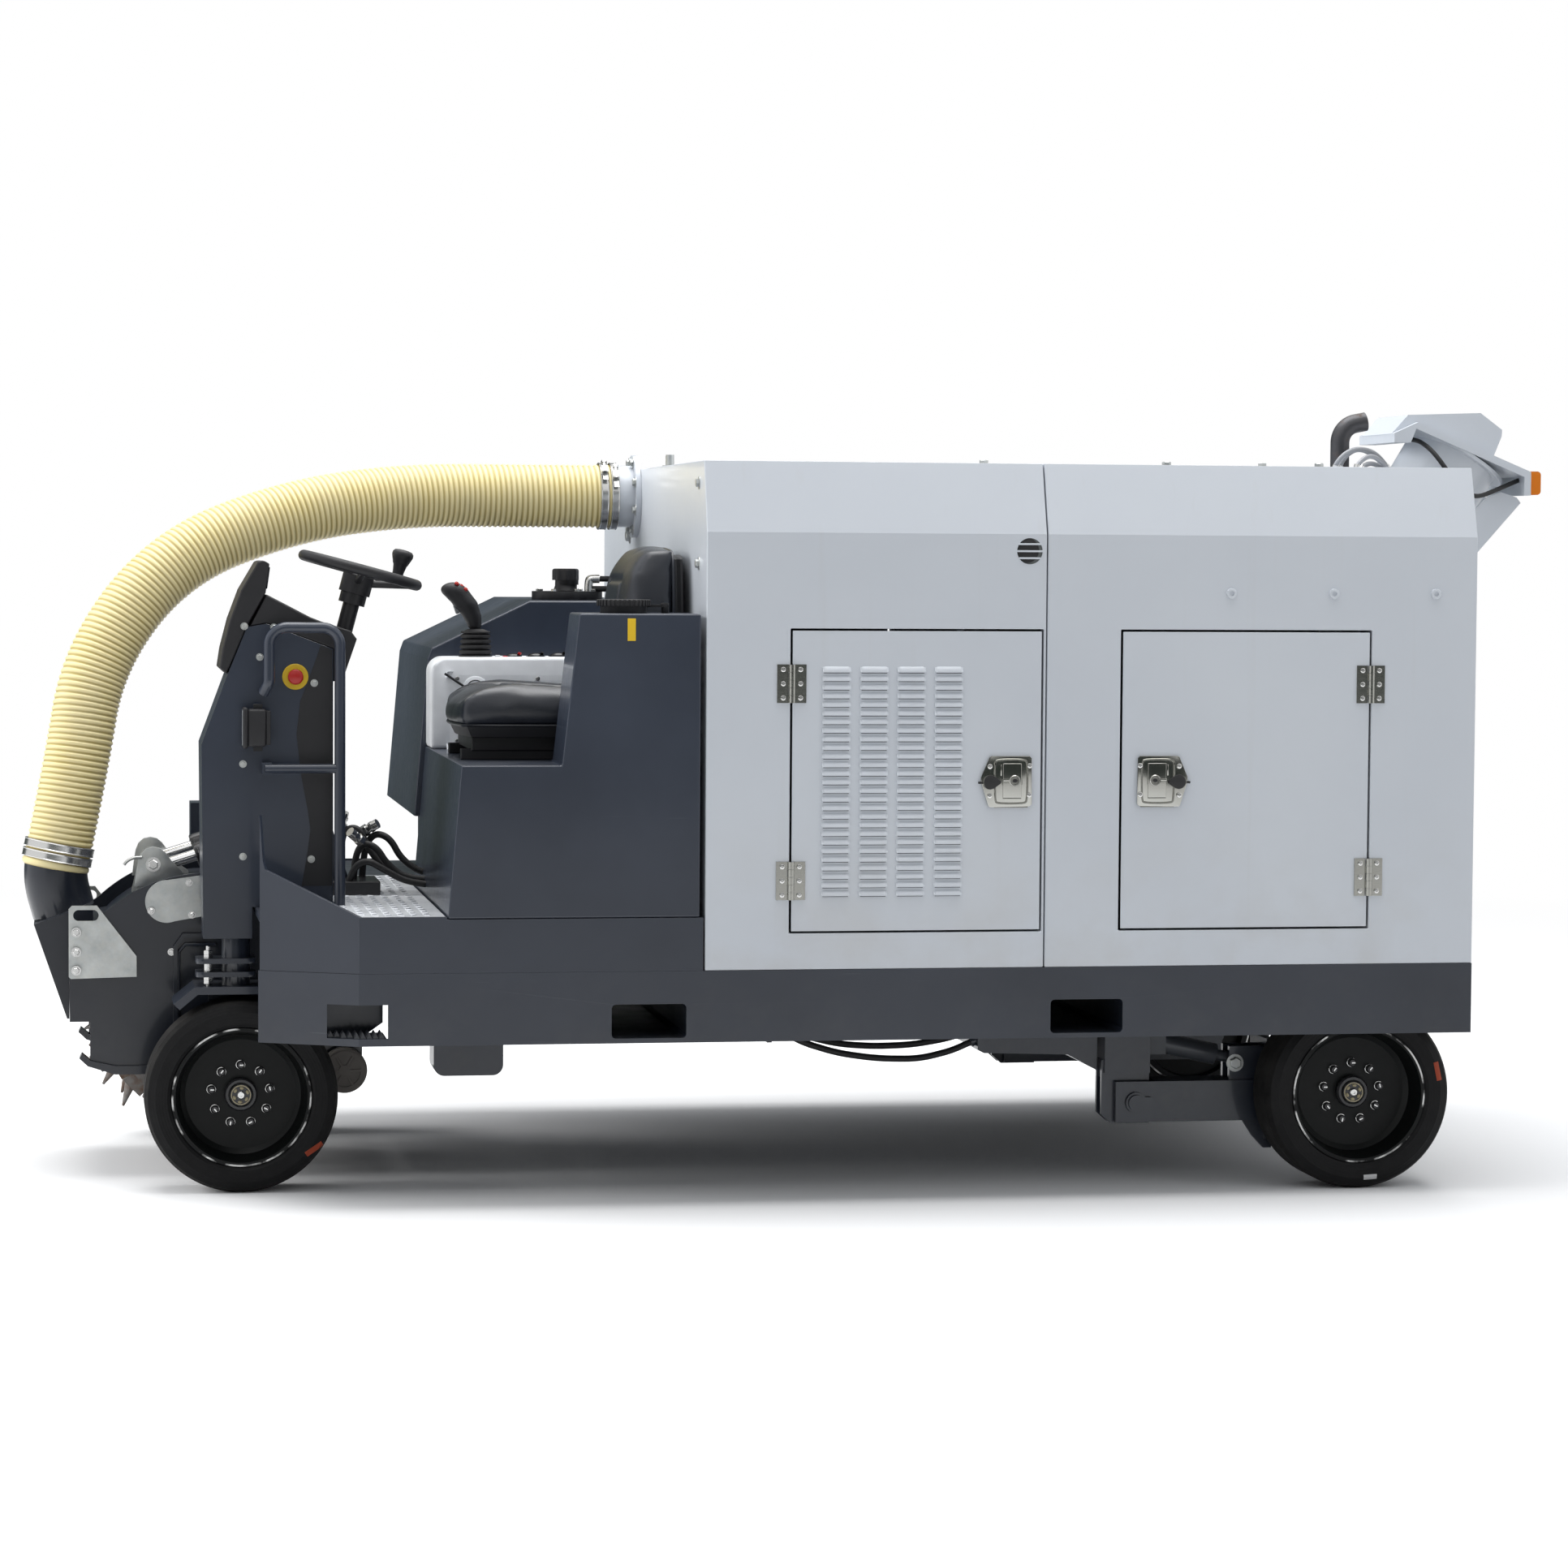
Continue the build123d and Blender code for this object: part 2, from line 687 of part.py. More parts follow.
# Steering wheel on its column
wheel_centre = Vector(wall_x - 770, -445, 1488)
wheel_axis = Vector(0.256, 0, 0.967).normalized()
steering_r = 140.0
steering_rim_r = 13.0
turn = Plane(origin=wheel_centre, z_dir=wheel_axis, x_dir=Vector(0, 1, 0))
hub_top = -14.0
hub_low = -58.0
ring = Rot(0, 0, 40) * revolve(Plane.XZ * Pos(steering_r, 0) * Circle(steering_rim_r), axis=Axis.Z)
spokes = [bar((0, 0, hub_low), (0, 0, hub_top), 38)]
for toward_y, toward_x in ((0, -1), (1, 0), (-1, 0)):
    run = Vector(toward_y, toward_x, 0)
    spokes.append(bar(run * 16 + Vector(0, 0, hub_top - 16), run * (steering_r - 6) - Vector(0, 0, 2), 9))
knob_at = Vector(97, -97, 1)
spokes.append(bar(knob_at, knob_at + Vector(0, 0, 56), 11))
spokes.append(Pos(*(knob_at + Vector(0, 0, 50))) * Sphere(21))
nodes["steering_wheel"] = turn * ring.fuse(*spokes)
column = bar((0, 0, hub_low - 132), (0, 0, hub_low - 25), 20)
column += bar((0, 0, hub_low - 26), (0, 0, hub_low - gap), 32)
nodes["steering_column"] = turn * column - cowl


# Wheels: a tyre, and a rim with a deep dish on its outer side
def tyre(x, y):
    """A tyre centred at (x, y), with rounded shoulders."""
    half = tyre_width / 2
    profile = [
        (rim_r + gap, -half + 10),
        (rim_r + 10, -half + 2),
        (wheel_r - 26, -half),
        (wheel_r - 8, -half + 8),
        (wheel_r, -half + 26),
        (wheel_r, half - 26),
        (wheel_r - 8, half - 8),
        (wheel_r - 26, half),
        (rim_r + 10, half - 2),
        (rim_r + gap, half - 10),
    ]
    outline = Polyline(*[(x + r, y + w, wheel_r) for r, w in profile], close=True)
    return revolve(make_face(outline), axis=Axis((x, y, wheel_r), (0, 1, 0)))


def rim_shape(x, y, outward):
    """A rim whose dish faces outward: -1 is left, 1 is right."""
    half = tyre_width / 2 - 6
    dish = half - dish_depth
    profile = [
        (0, -half + 30),
        (rim_r - 22, -half + 30),
        (rim_r - 18, -half),
        (rim_r, -half),
        (rim_r, half),
        (rim_r - 9, half),
        (rim_r - 22, dish + 10),
        (rim_r - 34, dish),
        (0, dish),
    ]
    outline = Polyline(*[(x + r, y + outward * w, wheel_r) for r, w in profile], close=True)
    body = revolve(make_face(outline), axis=Axis((x, y, wheel_r), (0, 1, 0)))
    floor_y = y + outward * dish
    ends = sorted((floor_y - outward * 2, floor_y + outward * 20))
    body += across(x, wheel_r, 30, ends)
    nut_ends = sorted((floor_y - outward * 2, floor_y + outward * 12))
    for index in range(nut_count):
        turn_angle = 2 * pi * index / nut_count
        nut_x = x + nut_circle_r * sin(turn_angle)
        nut_z = wheel_r + nut_circle_r * cos(turn_angle)
        body += across(nut_x, nut_z, 10, nut_ends)
    return body


def hub_motor(x, y, outward):
    """The motor that carries a wheel, on the wheel's inner side."""
    inner_face = y - outward * (tyre_width / 2 - 36)
    ends = sorted((inner_face - outward * gap, inner_face - outward * 60))
    return across(x, wheel_r, 88, ends)


wheel_table = (
    ("front_wheel_left", front_wheel_x, -front_wheel_y, -1),
    ("front_wheel_right", front_wheel_x, front_wheel_y, 1),
    ("rear_wheel_left", rear_wheel_x, -rear_wheel_y, -1),
    ("rear_wheel_right", rear_wheel_x, rear_wheel_y, 1),
)
for name, x, y, outward in wheel_table:
    nodes[name.replace("wheel", "tyre")] = tyre(x, y)
    nodes[name.replace("wheel", "rim")] = rim_shape(x, y, outward)

# Front yokes: king pin tube, steering arms, a guard plate and the hub's side plate
guard_z = (476.0, 494.0)
arm_z = ((516.0, 528.0), (548.0, 560.0))
side_y = (-427.0 + moving_gap + 3, -427.0 + moving_gap + 23)
yoke = bar((king_pin_x, -king_pin_y, guard_z[0]), (king_pin_x, -king_pin_y, leg_bore_top - 160), column_r)
guard = side_profile(
    [
        (king_pin_x + 60, guard_z[0]),
        (king_pin_x - 92, guard_z[0]),
        (king_pin_x - 135, guard_z[0] - 36),
        (king_pin_x - 150, guard_z[0] - 22),
        (king_pin_x - 100, guard_z[1]),
        (king_pin_x + 60, guard_z[1]),
    ],
    (-king_pin_y - 62, side_y[1]),
)
yoke += guard
yoke += block((king_pin_x - 62, king_pin_x + 62), side_y, (wheel_r - 88, guard_z[1]))
yoke += hub_motor(front_wheel_x, -front_wheel_y, -1)
for low, high in arm_z:
    arm = block((king_pin_x - 96, king_pin_x + 46), (-king_pin_y - 46, -king_pin_y + 46), (low, high))
    yoke += fillet(arm.edges().filter_by(Axis.Z), 18)
clamp_bolt = (king_pin_x - 66, -king_pin_y - 22)
yoke += bar((*clamp_bolt, arm_z[0][0] - 16), (*clamp_bolt, arm_z[1][1] + 14), 9)
nodes["front_yoke_left"] = yoke
nodes["front_yoke_right"] = other_side(yoke)

# Rear trailing arms, their chassis brackets and the jacks that set the height
pin_x = wall_x + 1112.0
pin_z = 196.0
arm_y = (-half_width + 278.0, -half_width + 378.0)
rear_arm = block((wall_x + 1062, wall_x + 1440), arm_y, (148, 248))
end_plate = block((wall_x + 1440, wall_x + 1460), (arm_y[0] - 10, arm_y[1] + 40), (100, 350))
tongue = side_profile(
    [
        (wall_x + 1385, 149),
        (wall_x + 1412, 108),
        (wall_x + 1440, 78),
        (wall_x + 1460, 78),
        (wall_x + 1460, 149),
    ],
    (arm_y[0] + 10, arm_y[0] + 24),
)
lug = block((wall_x + 1350, wall_x + 1441), (arm_y[0] + 6, arm_y[0] + 22), (247, 331))
carrier = block((wall_x + 1459, rear_wheel_x + 70), (arm_y[0] + 2, arm_y[0] + 32), (140, 310))
carrier += hub_motor(rear_wheel_x, -rear_wheel_y, -1)
rear_arm = rear_arm + end_plate + tongue + lug + lug.moved(Location((0, 62, 0))) + carrier
post_y = (arm_y[0] + 10, arm_y[1] - 10)
deck_seat = frame_top - deck_thickness + 1
post = block((wall_x + 1036, wall_x + 1150), post_y, (268, deck_seat))
post += block((wall_x + 1036, wall_x + 1200), post_y, (500, deck_seat))
fork_plate = 14.0
rear_arm -= block((wall_x + 1000, wall_x + 1166), (arm_y[0] + fork_plate, arm_y[1] - fork_plate), (100, 300))
cheek_outline = [
    (wall_x + 1030, 300),
    (wall_x + 1030, 166),
    (wall_x + 1056, 143),
    (wall_x + 1150, 143),
    (wall_x + 1150, 300),
]
cheek_in = fork_plate + moving_gap
cheeks = side_profile(cheek_outline, (arm_y[0] + cheek_in, arm_y[0] + cheek_in + 12))
cheeks += side_profile(cheek_outline, (arm_y[1] - cheek_in - 12, arm_y[1] - cheek_in))
cheeks += block((wall_x + 1036, wall_x + 1150), (arm_y[0] + cheek_in, arm_y[1] - cheek_in), (254, 300))
pin = across(pin_x, pin_z, 20, (arm_y[0] - 14, arm_y[1] + 14))
keeper_y = (arm_y[0] - 8, arm_y[0] - gap)
keeper = across(pin_x, pin_z, 26, keeper_y)
keeper += across(pin_x + 34, pin_z, 14, keeper_y)
keeper += block((pin_x, pin_x + 34), keeper_y, (pin_z - 14, pin_z + 14))
bracket = post + cheeks + pin + keeper
rear_arm -= across(pin_x, pin_z, 20 + gap, (arm_y[0] - 30, arm_y[1] + 30))
nodes["rear_arms"] = group(rear_arm, other_side(rear_arm))
nodes["chassis_frame"] = nodes["chassis_frame"] + bracket + other_side(bracket)
jack_y = arm_y[0] + 45
jack_pin = (wall_x + 1382, 294.0)
jack_root = (wall_x + 1190, 338.0)
jack = bar((jack_pin[0], jack_y, jack_pin[1]), (jack_root[0], jack_y, jack_root[1]), 14)
jack += bar((jack_pin[0] - 60, jack_y, 308), (jack_root[0] - 6, jack_y, 339), 26)
jack += across(jack_pin[0], jack_pin[1], 20, (jack_y - 18, jack_y + 18))
jack += block((wall_x + 1150 + gap, wall_x + 1192), (jack_y - 26, jack_y + 26), (312, 366))
nodes["rear_jacks"] = group(jack, other_side(jack))


# Milling head: housing with side plates and an arched hood
skid_low = 256.0
plate_front = wall_x - 1415.0
front_wall = wall_x - 1464.0
front_low = 385.0
front_high = 600.0
hood_start = 46.0                  # degrees above the horizontal, at the front


def head_slab(inset, y, drop=0.0):
    """The side plate's outline drawn in by inset, carried between two Y values."""
    radius = head_hood_r - inset - drop
    rise = radians(hood_start)
    begin = (drum_x - radius * cos(rise), y[0], drum_z + radius * sin(rise))
    middle = (drum_x, y[0], drum_z + radius)
    finish = (drum_x + radius, y[0], drum_z)
    low = skid_low + 20 + inset
    points = [
        finish,
        (drum_x + radius, y[0], low),
        (plate_front + inset, y[0], low),
        (plate_front + inset, y[0], front_low + inset),
        (front_wall + inset, y[0], front_low + inset),
        (front_wall + inset, y[0], front_high - inset * 0.5),
        begin,
    ]
    outline = [ThreePointArc(begin, middle, finish), Polyline(*points)]
    return extrude(make_face(outline), amount=y[1] - y[0], dir=(0, 1, 0))


hood_drop = 31.0                   # the hood lies below the side plates' arc
inside = (-head_half + head_plate_t, head_half - head_plate_t)
housing = head_slab(0, (-head_half, inside[0])) + head_slab(0, (inside[1], head_half))
housing += head_slab(0, (-head_half + 1, head_half - 1), hood_drop)
housing -= head_slab(head_plate_t, inside, hood_drop)
mouth_x = (front_wall - 5, drum_x + head_hood_r - head_plate_t)
housing -= block(mouth_x, inside, (skid_low, front_low + head_plate_t))
drum_shaft_r = 46.0
housing -= across(drum_x, drum_z, drum_shaft_r, (-head_half - 50, head_half + 50))

# Skid shoes under the side plates, arms to the pivot, stiffeners and gauge wheel forks
skid_outline = [
    (plate_front - 26, skid_low + 40),
    (plate_front - 6, skid_low + 21),
    (plate_front + 60, skid_low),
    (drum_x + head_hood_r - 6, skid_low),
    (drum_x + head_hood_r - 6, skid_low + 20.5),
    (plate_front + 62, skid_low + 20.5),
    (plate_front + 2, skid_low + 34),
    (plate_front - 20, skid_low + 52),
]
arm_outline = [
    (drum_x + 330, drum_z + 20),
    (head_pivot_x + 6, head_pivot_z - 44),
    (head_pivot_x + 40, head_pivot_z - 18),
    (head_pivot_x + 40, head_pivot_z + 18),
    (head_pivot_x + 6, head_pivot_z + 44),
    (drum_x + 300, drum_z + 190),
]
gauge_x = wall_x - 800.0
gauge_z = 262.0
gauge_r = 56.0
gauge_y = head_half + 28.0
gauge_half = 17.0
gauge_axle_r = 10.0
rib_x = wall_x - 1209.0
for side in (-1, 1):
    shoe_y = sorted((side * (head_half - 34), side * (head_half + 10)))
    housing += side_profile(skid_outline, shoe_y)
    arm = side_profile(arm_outline, sorted((side * (head_half - 24), side * head_half)))
    housing += arm
    rib_y = sorted((side * (head_half - 1), side * (head_half + 16)))
    housing += block((rib_x - 5, rib_x + 5), rib_y, (skid_low + 20, 570))
    housing += side_profile(
        [
            (rib_x - 5, 569),
            (rib_x + 5, 569),
            (rib_x + 22, 590),
            (rib_x + 70, 590),
            (rib_x + 70, 600),
            (rib_x + 17, 600),
        ],
        rib_y,
    )
    fork_y = sorted((side * (head_half - 1), side * (gauge_y - gauge_half - moving_gap)))
    housing += block((gauge_x - 16, gauge_x + 16), fork_y, (gauge_z - 18, gauge_z + 120))
    axle_y = sorted((side * (head_half - 1), side * (gauge_y + gauge_half + 1)))
    housing += across(gauge_x, gauge_z, gauge_axle_r, axle_y)
housing -= across(head_pivot_x, head_pivot_z, head_pivot_r + 0.4, (-head_half - 20, head_half + 20))
nodes["milling_housing"] = housing

gauge = across(gauge_x, gauge_z, gauge_r, (-gauge_y - gauge_half, -gauge_y + gauge_half))
gauge = fillet(gauge.edges(), 7)
gauge -= across(gauge_x, gauge_z, gauge_axle_r + gap, (-gauge_y - 30, -gauge_y + 30))
nodes["gauge_wheels"] = group(gauge, other_side(gauge))

# Brackets that carry the head's pivot, on the frame
pivot_outline = [
    (wall_x - 619, frame_bottom + 8),
    (head_pivot_x - 26, head_pivot_z - 34),
    (head_pivot_x - 36, head_pivot_z),
    (head_pivot_x - 22, head_pivot_z + 32),
    (wall_x - 619, frame_top - 16),
]
for side in (-1, 1):
    plate_y = sorted((side * (head_half + 5), side * (head_half + 25)))
    bracket = side_profile(pivot_outline, plate_y)
    pivot_y = sorted((side * (head_half - 30), side * (head_half + 30)))
    bracket += across(head_pivot_x, head_pivot_z, head_pivot_r, pivot_y)
    nodes["chassis_frame"] = nodes["chassis_frame"] + bracket

# Drum with its cutting bits in rising helical rows
bit_rows = 12
bit_per_row = 4
bit_r = 14.0
drum = across(drum_x, drum_z, drum_core_r, (-drum_length / 2, drum_length / 2))
drum += across(drum_x, drum_z, drum_shaft_r - 0.5, (-head_half - 12, head_half + 12))
bit_low = drum_core_r - 3
bits = []
for row in range(bit_rows):
    y = -drum_length / 2 + 24 + (drum_length - 48) * row / (bit_rows - 1)
    for turn_index in range(bit_per_row):
        angle = 2 * pi * (turn_index / bit_per_row + row / bit_rows * 0.5)
        out = Vector(cos(angle), 0, sin(angle))
        ahead = Vector(-sin(angle), 0, cos(angle))
        seat = Vector(drum_x, y, drum_z) + out * (bit_low + 4)
        tip = Vector(drum_x, y, drum_z) + out * drum_tip_r + ahead * 10
        plane = Plane(origin=seat, x_dir=ahead, z_dir=out)
        holder = plane * Pos(-6, 0, 16) * Box(56, 34, 40)
        lean = tip - (seat + out * 30 - ahead * 16)
        cone_plane = Plane(origin=seat + out * 30 - ahead * 16, z_dir=lean)
        low = (Align.CENTER, Align.CENTER, Align.MIN)
        bit = holder + cone_plane * Cone(bit_r, 3, lean.length, align=low)
        bits.append(bit)
nodes["milling_drum"] = drum.fuse(*bits)


# Zinc-plated brackets on the head: lifting plates, covers and the cylinder clevises
lift_outline = [
    (wall_x - 1466, 661),
    (wall_x - 1458, 669),
    (wall_x - 1398, 669),
    (wall_x - 1303, 545),
    (wall_x - 1303, 495),
    (wall_x - 1461, 491),
    (wall_x - 1466, 496),
]
lift_plate_t = 10.0
slot_x = (wall_x - 1455, wall_x - 1394)
slot_z = (632.0, 659.0)
cover_x = wall_x - 1230.0
cover_z = 678.0
clevis_pin = (wall_x - 1257.0, 749.0)
clevis_pin_r = 12.0
clevis_plate_t = 10.0
cylinder_y = 150.0
eye_half = 15.0
plated = []
face_out = head_half + gap
for side in (-1, 1):
    plate_y = sorted((side * face_out, side * (face_out + lift_plate_t)))
    plate = side_profile(lift_outline, plate_y)
    slot = block(slot_x, (plate_y[0] - 5, plate_y[1] + 5), slot_z)
    plate -= fillet(slot.edges().filter_by(Axis.Y), 13)
    bolt_y = sorted((side * (face_out + lift_plate_t - 1), side * (face_out + lift_plate_t + 7)))
    for bolt_z in (605, 557, 512):
        plate += across(wall_x - 1448, bolt_z, 12, bolt_y)
    plated.append(plate)
    cover = across(cover_x, cover_z, 52, plate_y[0:2])
    cover_back = [
        (cover_x, cover_z + 52),
        (cover_x, cover_z - 52),
        (cover_x + 90, cover_z - 36),
        (cover_x + 150, cover_z - 30),
        (cover_x + 150, cover_z + 40),
        (cover_x + 90, cover_z + 64),
    ]
    cover_y = sorted((side * face_out, side * (face_out + 6)))
    cover = across(cover_x, cover_z, 52, cover_y) + side_profile(cover_back, cover_y)
    plated.append(cover)
hood_cut = across(drum_x, drum_z, head_hood_r - hood_drop + gap, (-400, 400))
for y in (-cylinder_y, cylinder_y):
    ears = []
    for side in (-1, 1):
        ear_y = sorted((y + side * (eye_half + 3), y + side * (eye_half + 3 + clevis_plate_t)))
        ear_outline = [
            (clevis_pin[0] - 62, clevis_pin[1] - 130),
            (clevis_pin[0] - 29, clevis_pin[1] + 12),
            (clevis_pin[0] + 29, clevis_pin[1] + 12),
            (clevis_pin[0] + 92, clevis_pin[1] - 30),
            (clevis_pin[0] + 92, clevis_pin[1] - 60),
        ]
        ear = side_profile(ear_outline, ear_y) + across(clevis_pin[0], clevis_pin[1], 31, ear_y)
        ears.append(ear - hood_cut)
    reach = eye_half + 3 + clevis_plate_t
    pin_bar = across(clevis_pin[0], clevis_pin[1], clevis_pin_r, (y - reach - 6, y + reach + 6))
    plated.append(ears[0] + ears[1] + pin_bar)
nodes["plated_brackets"] = group(*plated)

# Suction elbow on the head's front, down to its mouth
duct_r = 78.0
hose_cuff = Vector(*hose_low)
hose_second = (wall_x - 1448, 6, 985)
hose_rise = (Vector(*hose_second) - hose_cuff).normalized()
duct_corner = hose_cuff - hose_rise * 76
duct_end = Vector(wall_x - 1477.5, 0, 631.6)
duct_path = FilletPolyline(hose_cuff, duct_corner, duct_end, radius=200)
duct_section = Plane(origin=hose_cuff, z_dir=duct_path % 0) * Circle(duct_r)
duct = sweep(duct_section, path=duct_path)
mouth_outline = [
    (wall_x - 1550.5, 606.5),
    (wall_x - 1470, 372),
    (front_wall - gap, 372),
    (front_wall - gap, front_high + 1),
    (wall_x - 1406, 613.5),
    (wall_x - 1406, 657.5),
    (wall_x - 1477.5, 634),
]
duct += side_profile(mouth_outline, (-110, 110))
nodes["suction_elbow"] = duct

# Cylinders that raise the head: barrels hang on the anchor, rods reach the clevis
anchor = (wall_x - 862.0, 872.0)
anchor_pin_r = 14.0
pull = Vector(clevis_pin[0] - anchor[0], 0, clevis_pin[1] - anchor[1])
along = pull.normalized()
barrel_r = 27.0
rod_r = 15.0
barrel_front = 298.0
barrels = []
rods = []
for y in (-cylinder_y, cylinder_y):
    base = Vector(anchor[0], y, anchor[1])
    front = base + along * barrel_front
    barrel = bar(base + along * 50, front, barrel_r)
    barrel += bar(base + along * 18, base + along * 54, 14)
    barrel += bar(front - along * 24, front, barrel_r + 4)
    barrel += across(anchor[0], anchor[1], 26, (y - eye_half, y + eye_half))
    barrel -= across(anchor[0], anchor[1], anchor_pin_r + gap, (y - 60, y + 60))
    barrel -= bar(base + along * 150, front + along * 5, rod_r + gap)
    barrels.append(barrel)
    eye_at = base + pull
    rod = bar(base + along * 235, eye_at - along * 20, rod_r)
    rod += across(clevis_pin[0], clevis_pin[1], 27, (y - eye_half, y + eye_half))
    rod -= across(clevis_pin[0], clevis_pin[1], clevis_pin_r + 7.5, (y - 60, y + 60))
    rods.append(rod)
nodes["cylinder_barrels"] = group(*barrels)
nodes["cylinder_rods"] = group(*rods)

# The anchor stands on the platform's front edge
mast_outline = [
    (wall_x - 834, floor_z + gap),
    (wall_x - 770, floor_z + gap),
    (anchor[0] + 30, anchor[1] + 12),
    (anchor[0], anchor[1] + 32),
    (anchor[0] - 30, anchor[1] + 4),
    (anchor[0] - 18, anchor[1] - 40),
]
mast = []
for y in (-cylinder_y, cylinder_y):
    cheeks = []
    for side in (-1, 1):
        cheek_y = sorted((y + side * (eye_half + 3), y + side * (eye_half + 15)))
        cheeks.append(side_profile(mast_outline, cheek_y))
    pin_bar = across(anchor[0], anchor[1], anchor_pin_r, (y - eye_half - 20, y + eye_half + 20))
    mast.append(cheeks[0] + cheeks[1] + pin_bar)
nodes["cylinder_anchor"] = group(*mast)

# Suction hose, from the elbow over the platform to the enclosure's flange
hose_route = [
    tuple(hose_cuff + hose_rise * gap),
    hose_second,
    (wall_x - 1402, 42, 1265),
    (wall_x - 1210, 103, 1515),
    (wall_x - 905, 178, 1635),
    (wall_x - 610, 250, 1679),
    (wall_x - 330, flange_y, flange_z),
    (wall_x - 62, flange_y, flange_z),
]


def route_radii(route):
    """The largest arcs that neighbouring runs of a route allow."""
    radii = []
    for before, at, after in zip(route, route[1:], route[2:]):
        first = Vector(at) - Vector(before)
        second = Vector(after) - Vector(at)
        turn_half = radians(first.get_angle(second)) / 2
        radii.append(0.45 * min(first.length, second.length) / tan(turn_half))
    return radii


def hose_tube(route, radius):
    """A solid tube along a route of straight runs and arcs."""
    radii = route_radii(route)
    path = FilletPolyline(*route, radius=radii)
    section = Plane(origin=route[0], z_dir=path % 0) * Circle(radius)
    return sweep(section, path=path)


nodes["suction_hose"] = hose_tube(hose_route, hose_r)

# Flange on the enclosure's front wall, and the hose's clamps
flange_r = 107.0
collar_end = wall_x - 62.0 + gap
flange = bar((wall_x - gap, flange_y, flange_z), (wall_x - 14, flange_y, flange_z), flange_r)
flange += bar((wall_x - 13, flange_y, flange_z), (collar_end, flange_y, flange_z), 80)
flange = flange - block((wall_x - 1, wall_x + 5), (0, 600), (roof_z - 20, roof_z + 80))
nodes["hose_flange"] = flange

# Exhaust through the roof
exhaust_r = 24.0
exhaust_x = wall_x + 1739.0
exhaust_y = -250.0
exhaust_path = FilletPolyline(
    (exhaust_x, exhaust_y, roof_z + gap),
    (exhaust_x, exhaust_y, 1868),
    (exhaust_x + 67, exhaust_y, 1881),
    radius=50,
)
exhaust = sweep(Plane(origin=exhaust_path @ 0, z_dir=exhaust_path % 0) * Circle(exhaust_r), path=exhaust_path)
exhaust_bore = bar(exhaust_path @ 1, exhaust_path @ 1 - (exhaust_path % 1) * 30, exhaust_r - 3)
nodes["exhaust_pipe"] = exhaust - exhaust_bore

# Discharge tube: leans out of the rear wall, with its flange, lid and stays
tube_lean = 59.0
tube_r = 124.0
tube_flange_r = 147.0
tube_length = 900.0
tube_top = Vector(wall_x + 2125, 0, 1806)
tube_dir = Vector(cos(radians(tube_lean)), 0, sin(radians(tube_lean)))
tube_base = tube_top - tube_dir * tube_length
tube = bar(tube_base, tube_top, tube_r)
tube += bar(tube_top - tube_dir * 9, tube_top, tube_flange_r)
lid_end = wall_x + 2287.0
lid_outline = [
    (wall_x + 1916, 1856),
    (wall_x + 1916, 1832),
    (wall_x + 1960, 1832),
    (wall_x + 1975, 1868),
    (lid_end - 18, 1746),
    (lid_end - 18, 1698),
    (lid_end, 1698),
    (lid_end, 1759),
    (wall_x + 1980, 1885),
]
tube += side_profile(lid_outline, (-150, 150))
lid_hood_outline = [
    (wall_x + 1915, 1855),
    (wall_x + 1959, 1904),
    (wall_x + 2155, 1911),
    (wall_x + 2214, 1868),
    (wall_x + 2213, 1851),
    (wall_x + 2188, 1790),
    (wall_x + 1980, 1872),
]
tube += side_profile(lid_hood_outline, (-128, 128))
stay_outline = [
    (frame_rear + gap, 1228),
    (wall_x + 2273, 1679),
    (wall_x + 2262, 1693),
    (wall_x + 2217, 1707),
    (wall_x + 2176, 1690),
    (frame_rear + gap, 1350),
]
for side in (-1, 1):
    tube += side_profile(stay_outline, sorted((side * 100, side * 112)))
foot_half = 150.0
tube += block((frame_rear + gap, frame_rear + 10), (-foot_half, foot_half), (1228, 1268))
tube -= block((bin_x[1] - 200, bin_x[1] + gap), (-200, 200), (900, 1500))
nodes["discharge_tube"] = tube

# Amber beacon on the lid's rear plate
beacon_y = (-132.0, -52.0)
beacon = block((lid_end + gap, wall_x + 2320), beacon_y, (1700, 1761))
nodes["beacon"] = fillet(beacon.edges().filter_by(Axis.Y).sort_by(Axis.X)[2:4], 10)

# Belly boxes under the frame
front_box = block((wall_x - 600, wall_x - 432), (-560, -440), (272, frame_bottom + 6 - gap))
front_box = fillet(front_box.edges().filter_by(Axis.Y).sort_by(Axis.Z)[0:2], 26)
belly_half = 630.0
rear_box = side_profile(
    [
        (wall_x + 724, 358),
        (wall_x + 724, 326),
        (wall_x + 740, 318),
        (wall_x + 950, 312),
        (wall_x + 1024, 272),
        (wall_x + 1024, 358),
    ],
    (-belly_half, belly_half),
)
rear_box += block((wall_x + 724, wall_x + 1024), (-belly_half, belly_half), (357, frame_bottom + 5 - gap))

# Hydraulic hoses that hang below the frame, between two bulkhead fittings
belly_hose_r = 8.0
belly_routes = {
    "belly_hose_outer": [
        (wall_x + 255, -600, 368),
        (wall_x + 300, -600, 345),
        (wall_x + 380, -601, 320),
        (wall_x + 480, -602, 305),
        (wall_x + 585, -601, 303),
        (wall_x + 665, -600, 322),
        (wall_x + 712, -600, 342),
    ],
    "belly_hose_inner": [
        (wall_x + 258, -560, 376),
        (wall_x + 310, -560, 357),
        (wall_x + 390, -559, 337),
        (wall_x + 480, -558, 330),
        (wall_x + 575, -559, 333),
        (wall_x + 655, -560, 346),
        (wall_x + 705, -560, 360),
    ],
}
hanger = block((wall_x + 200, wall_x + 212), (-640, -520), (352, frame_top - deck_thickness + 1))
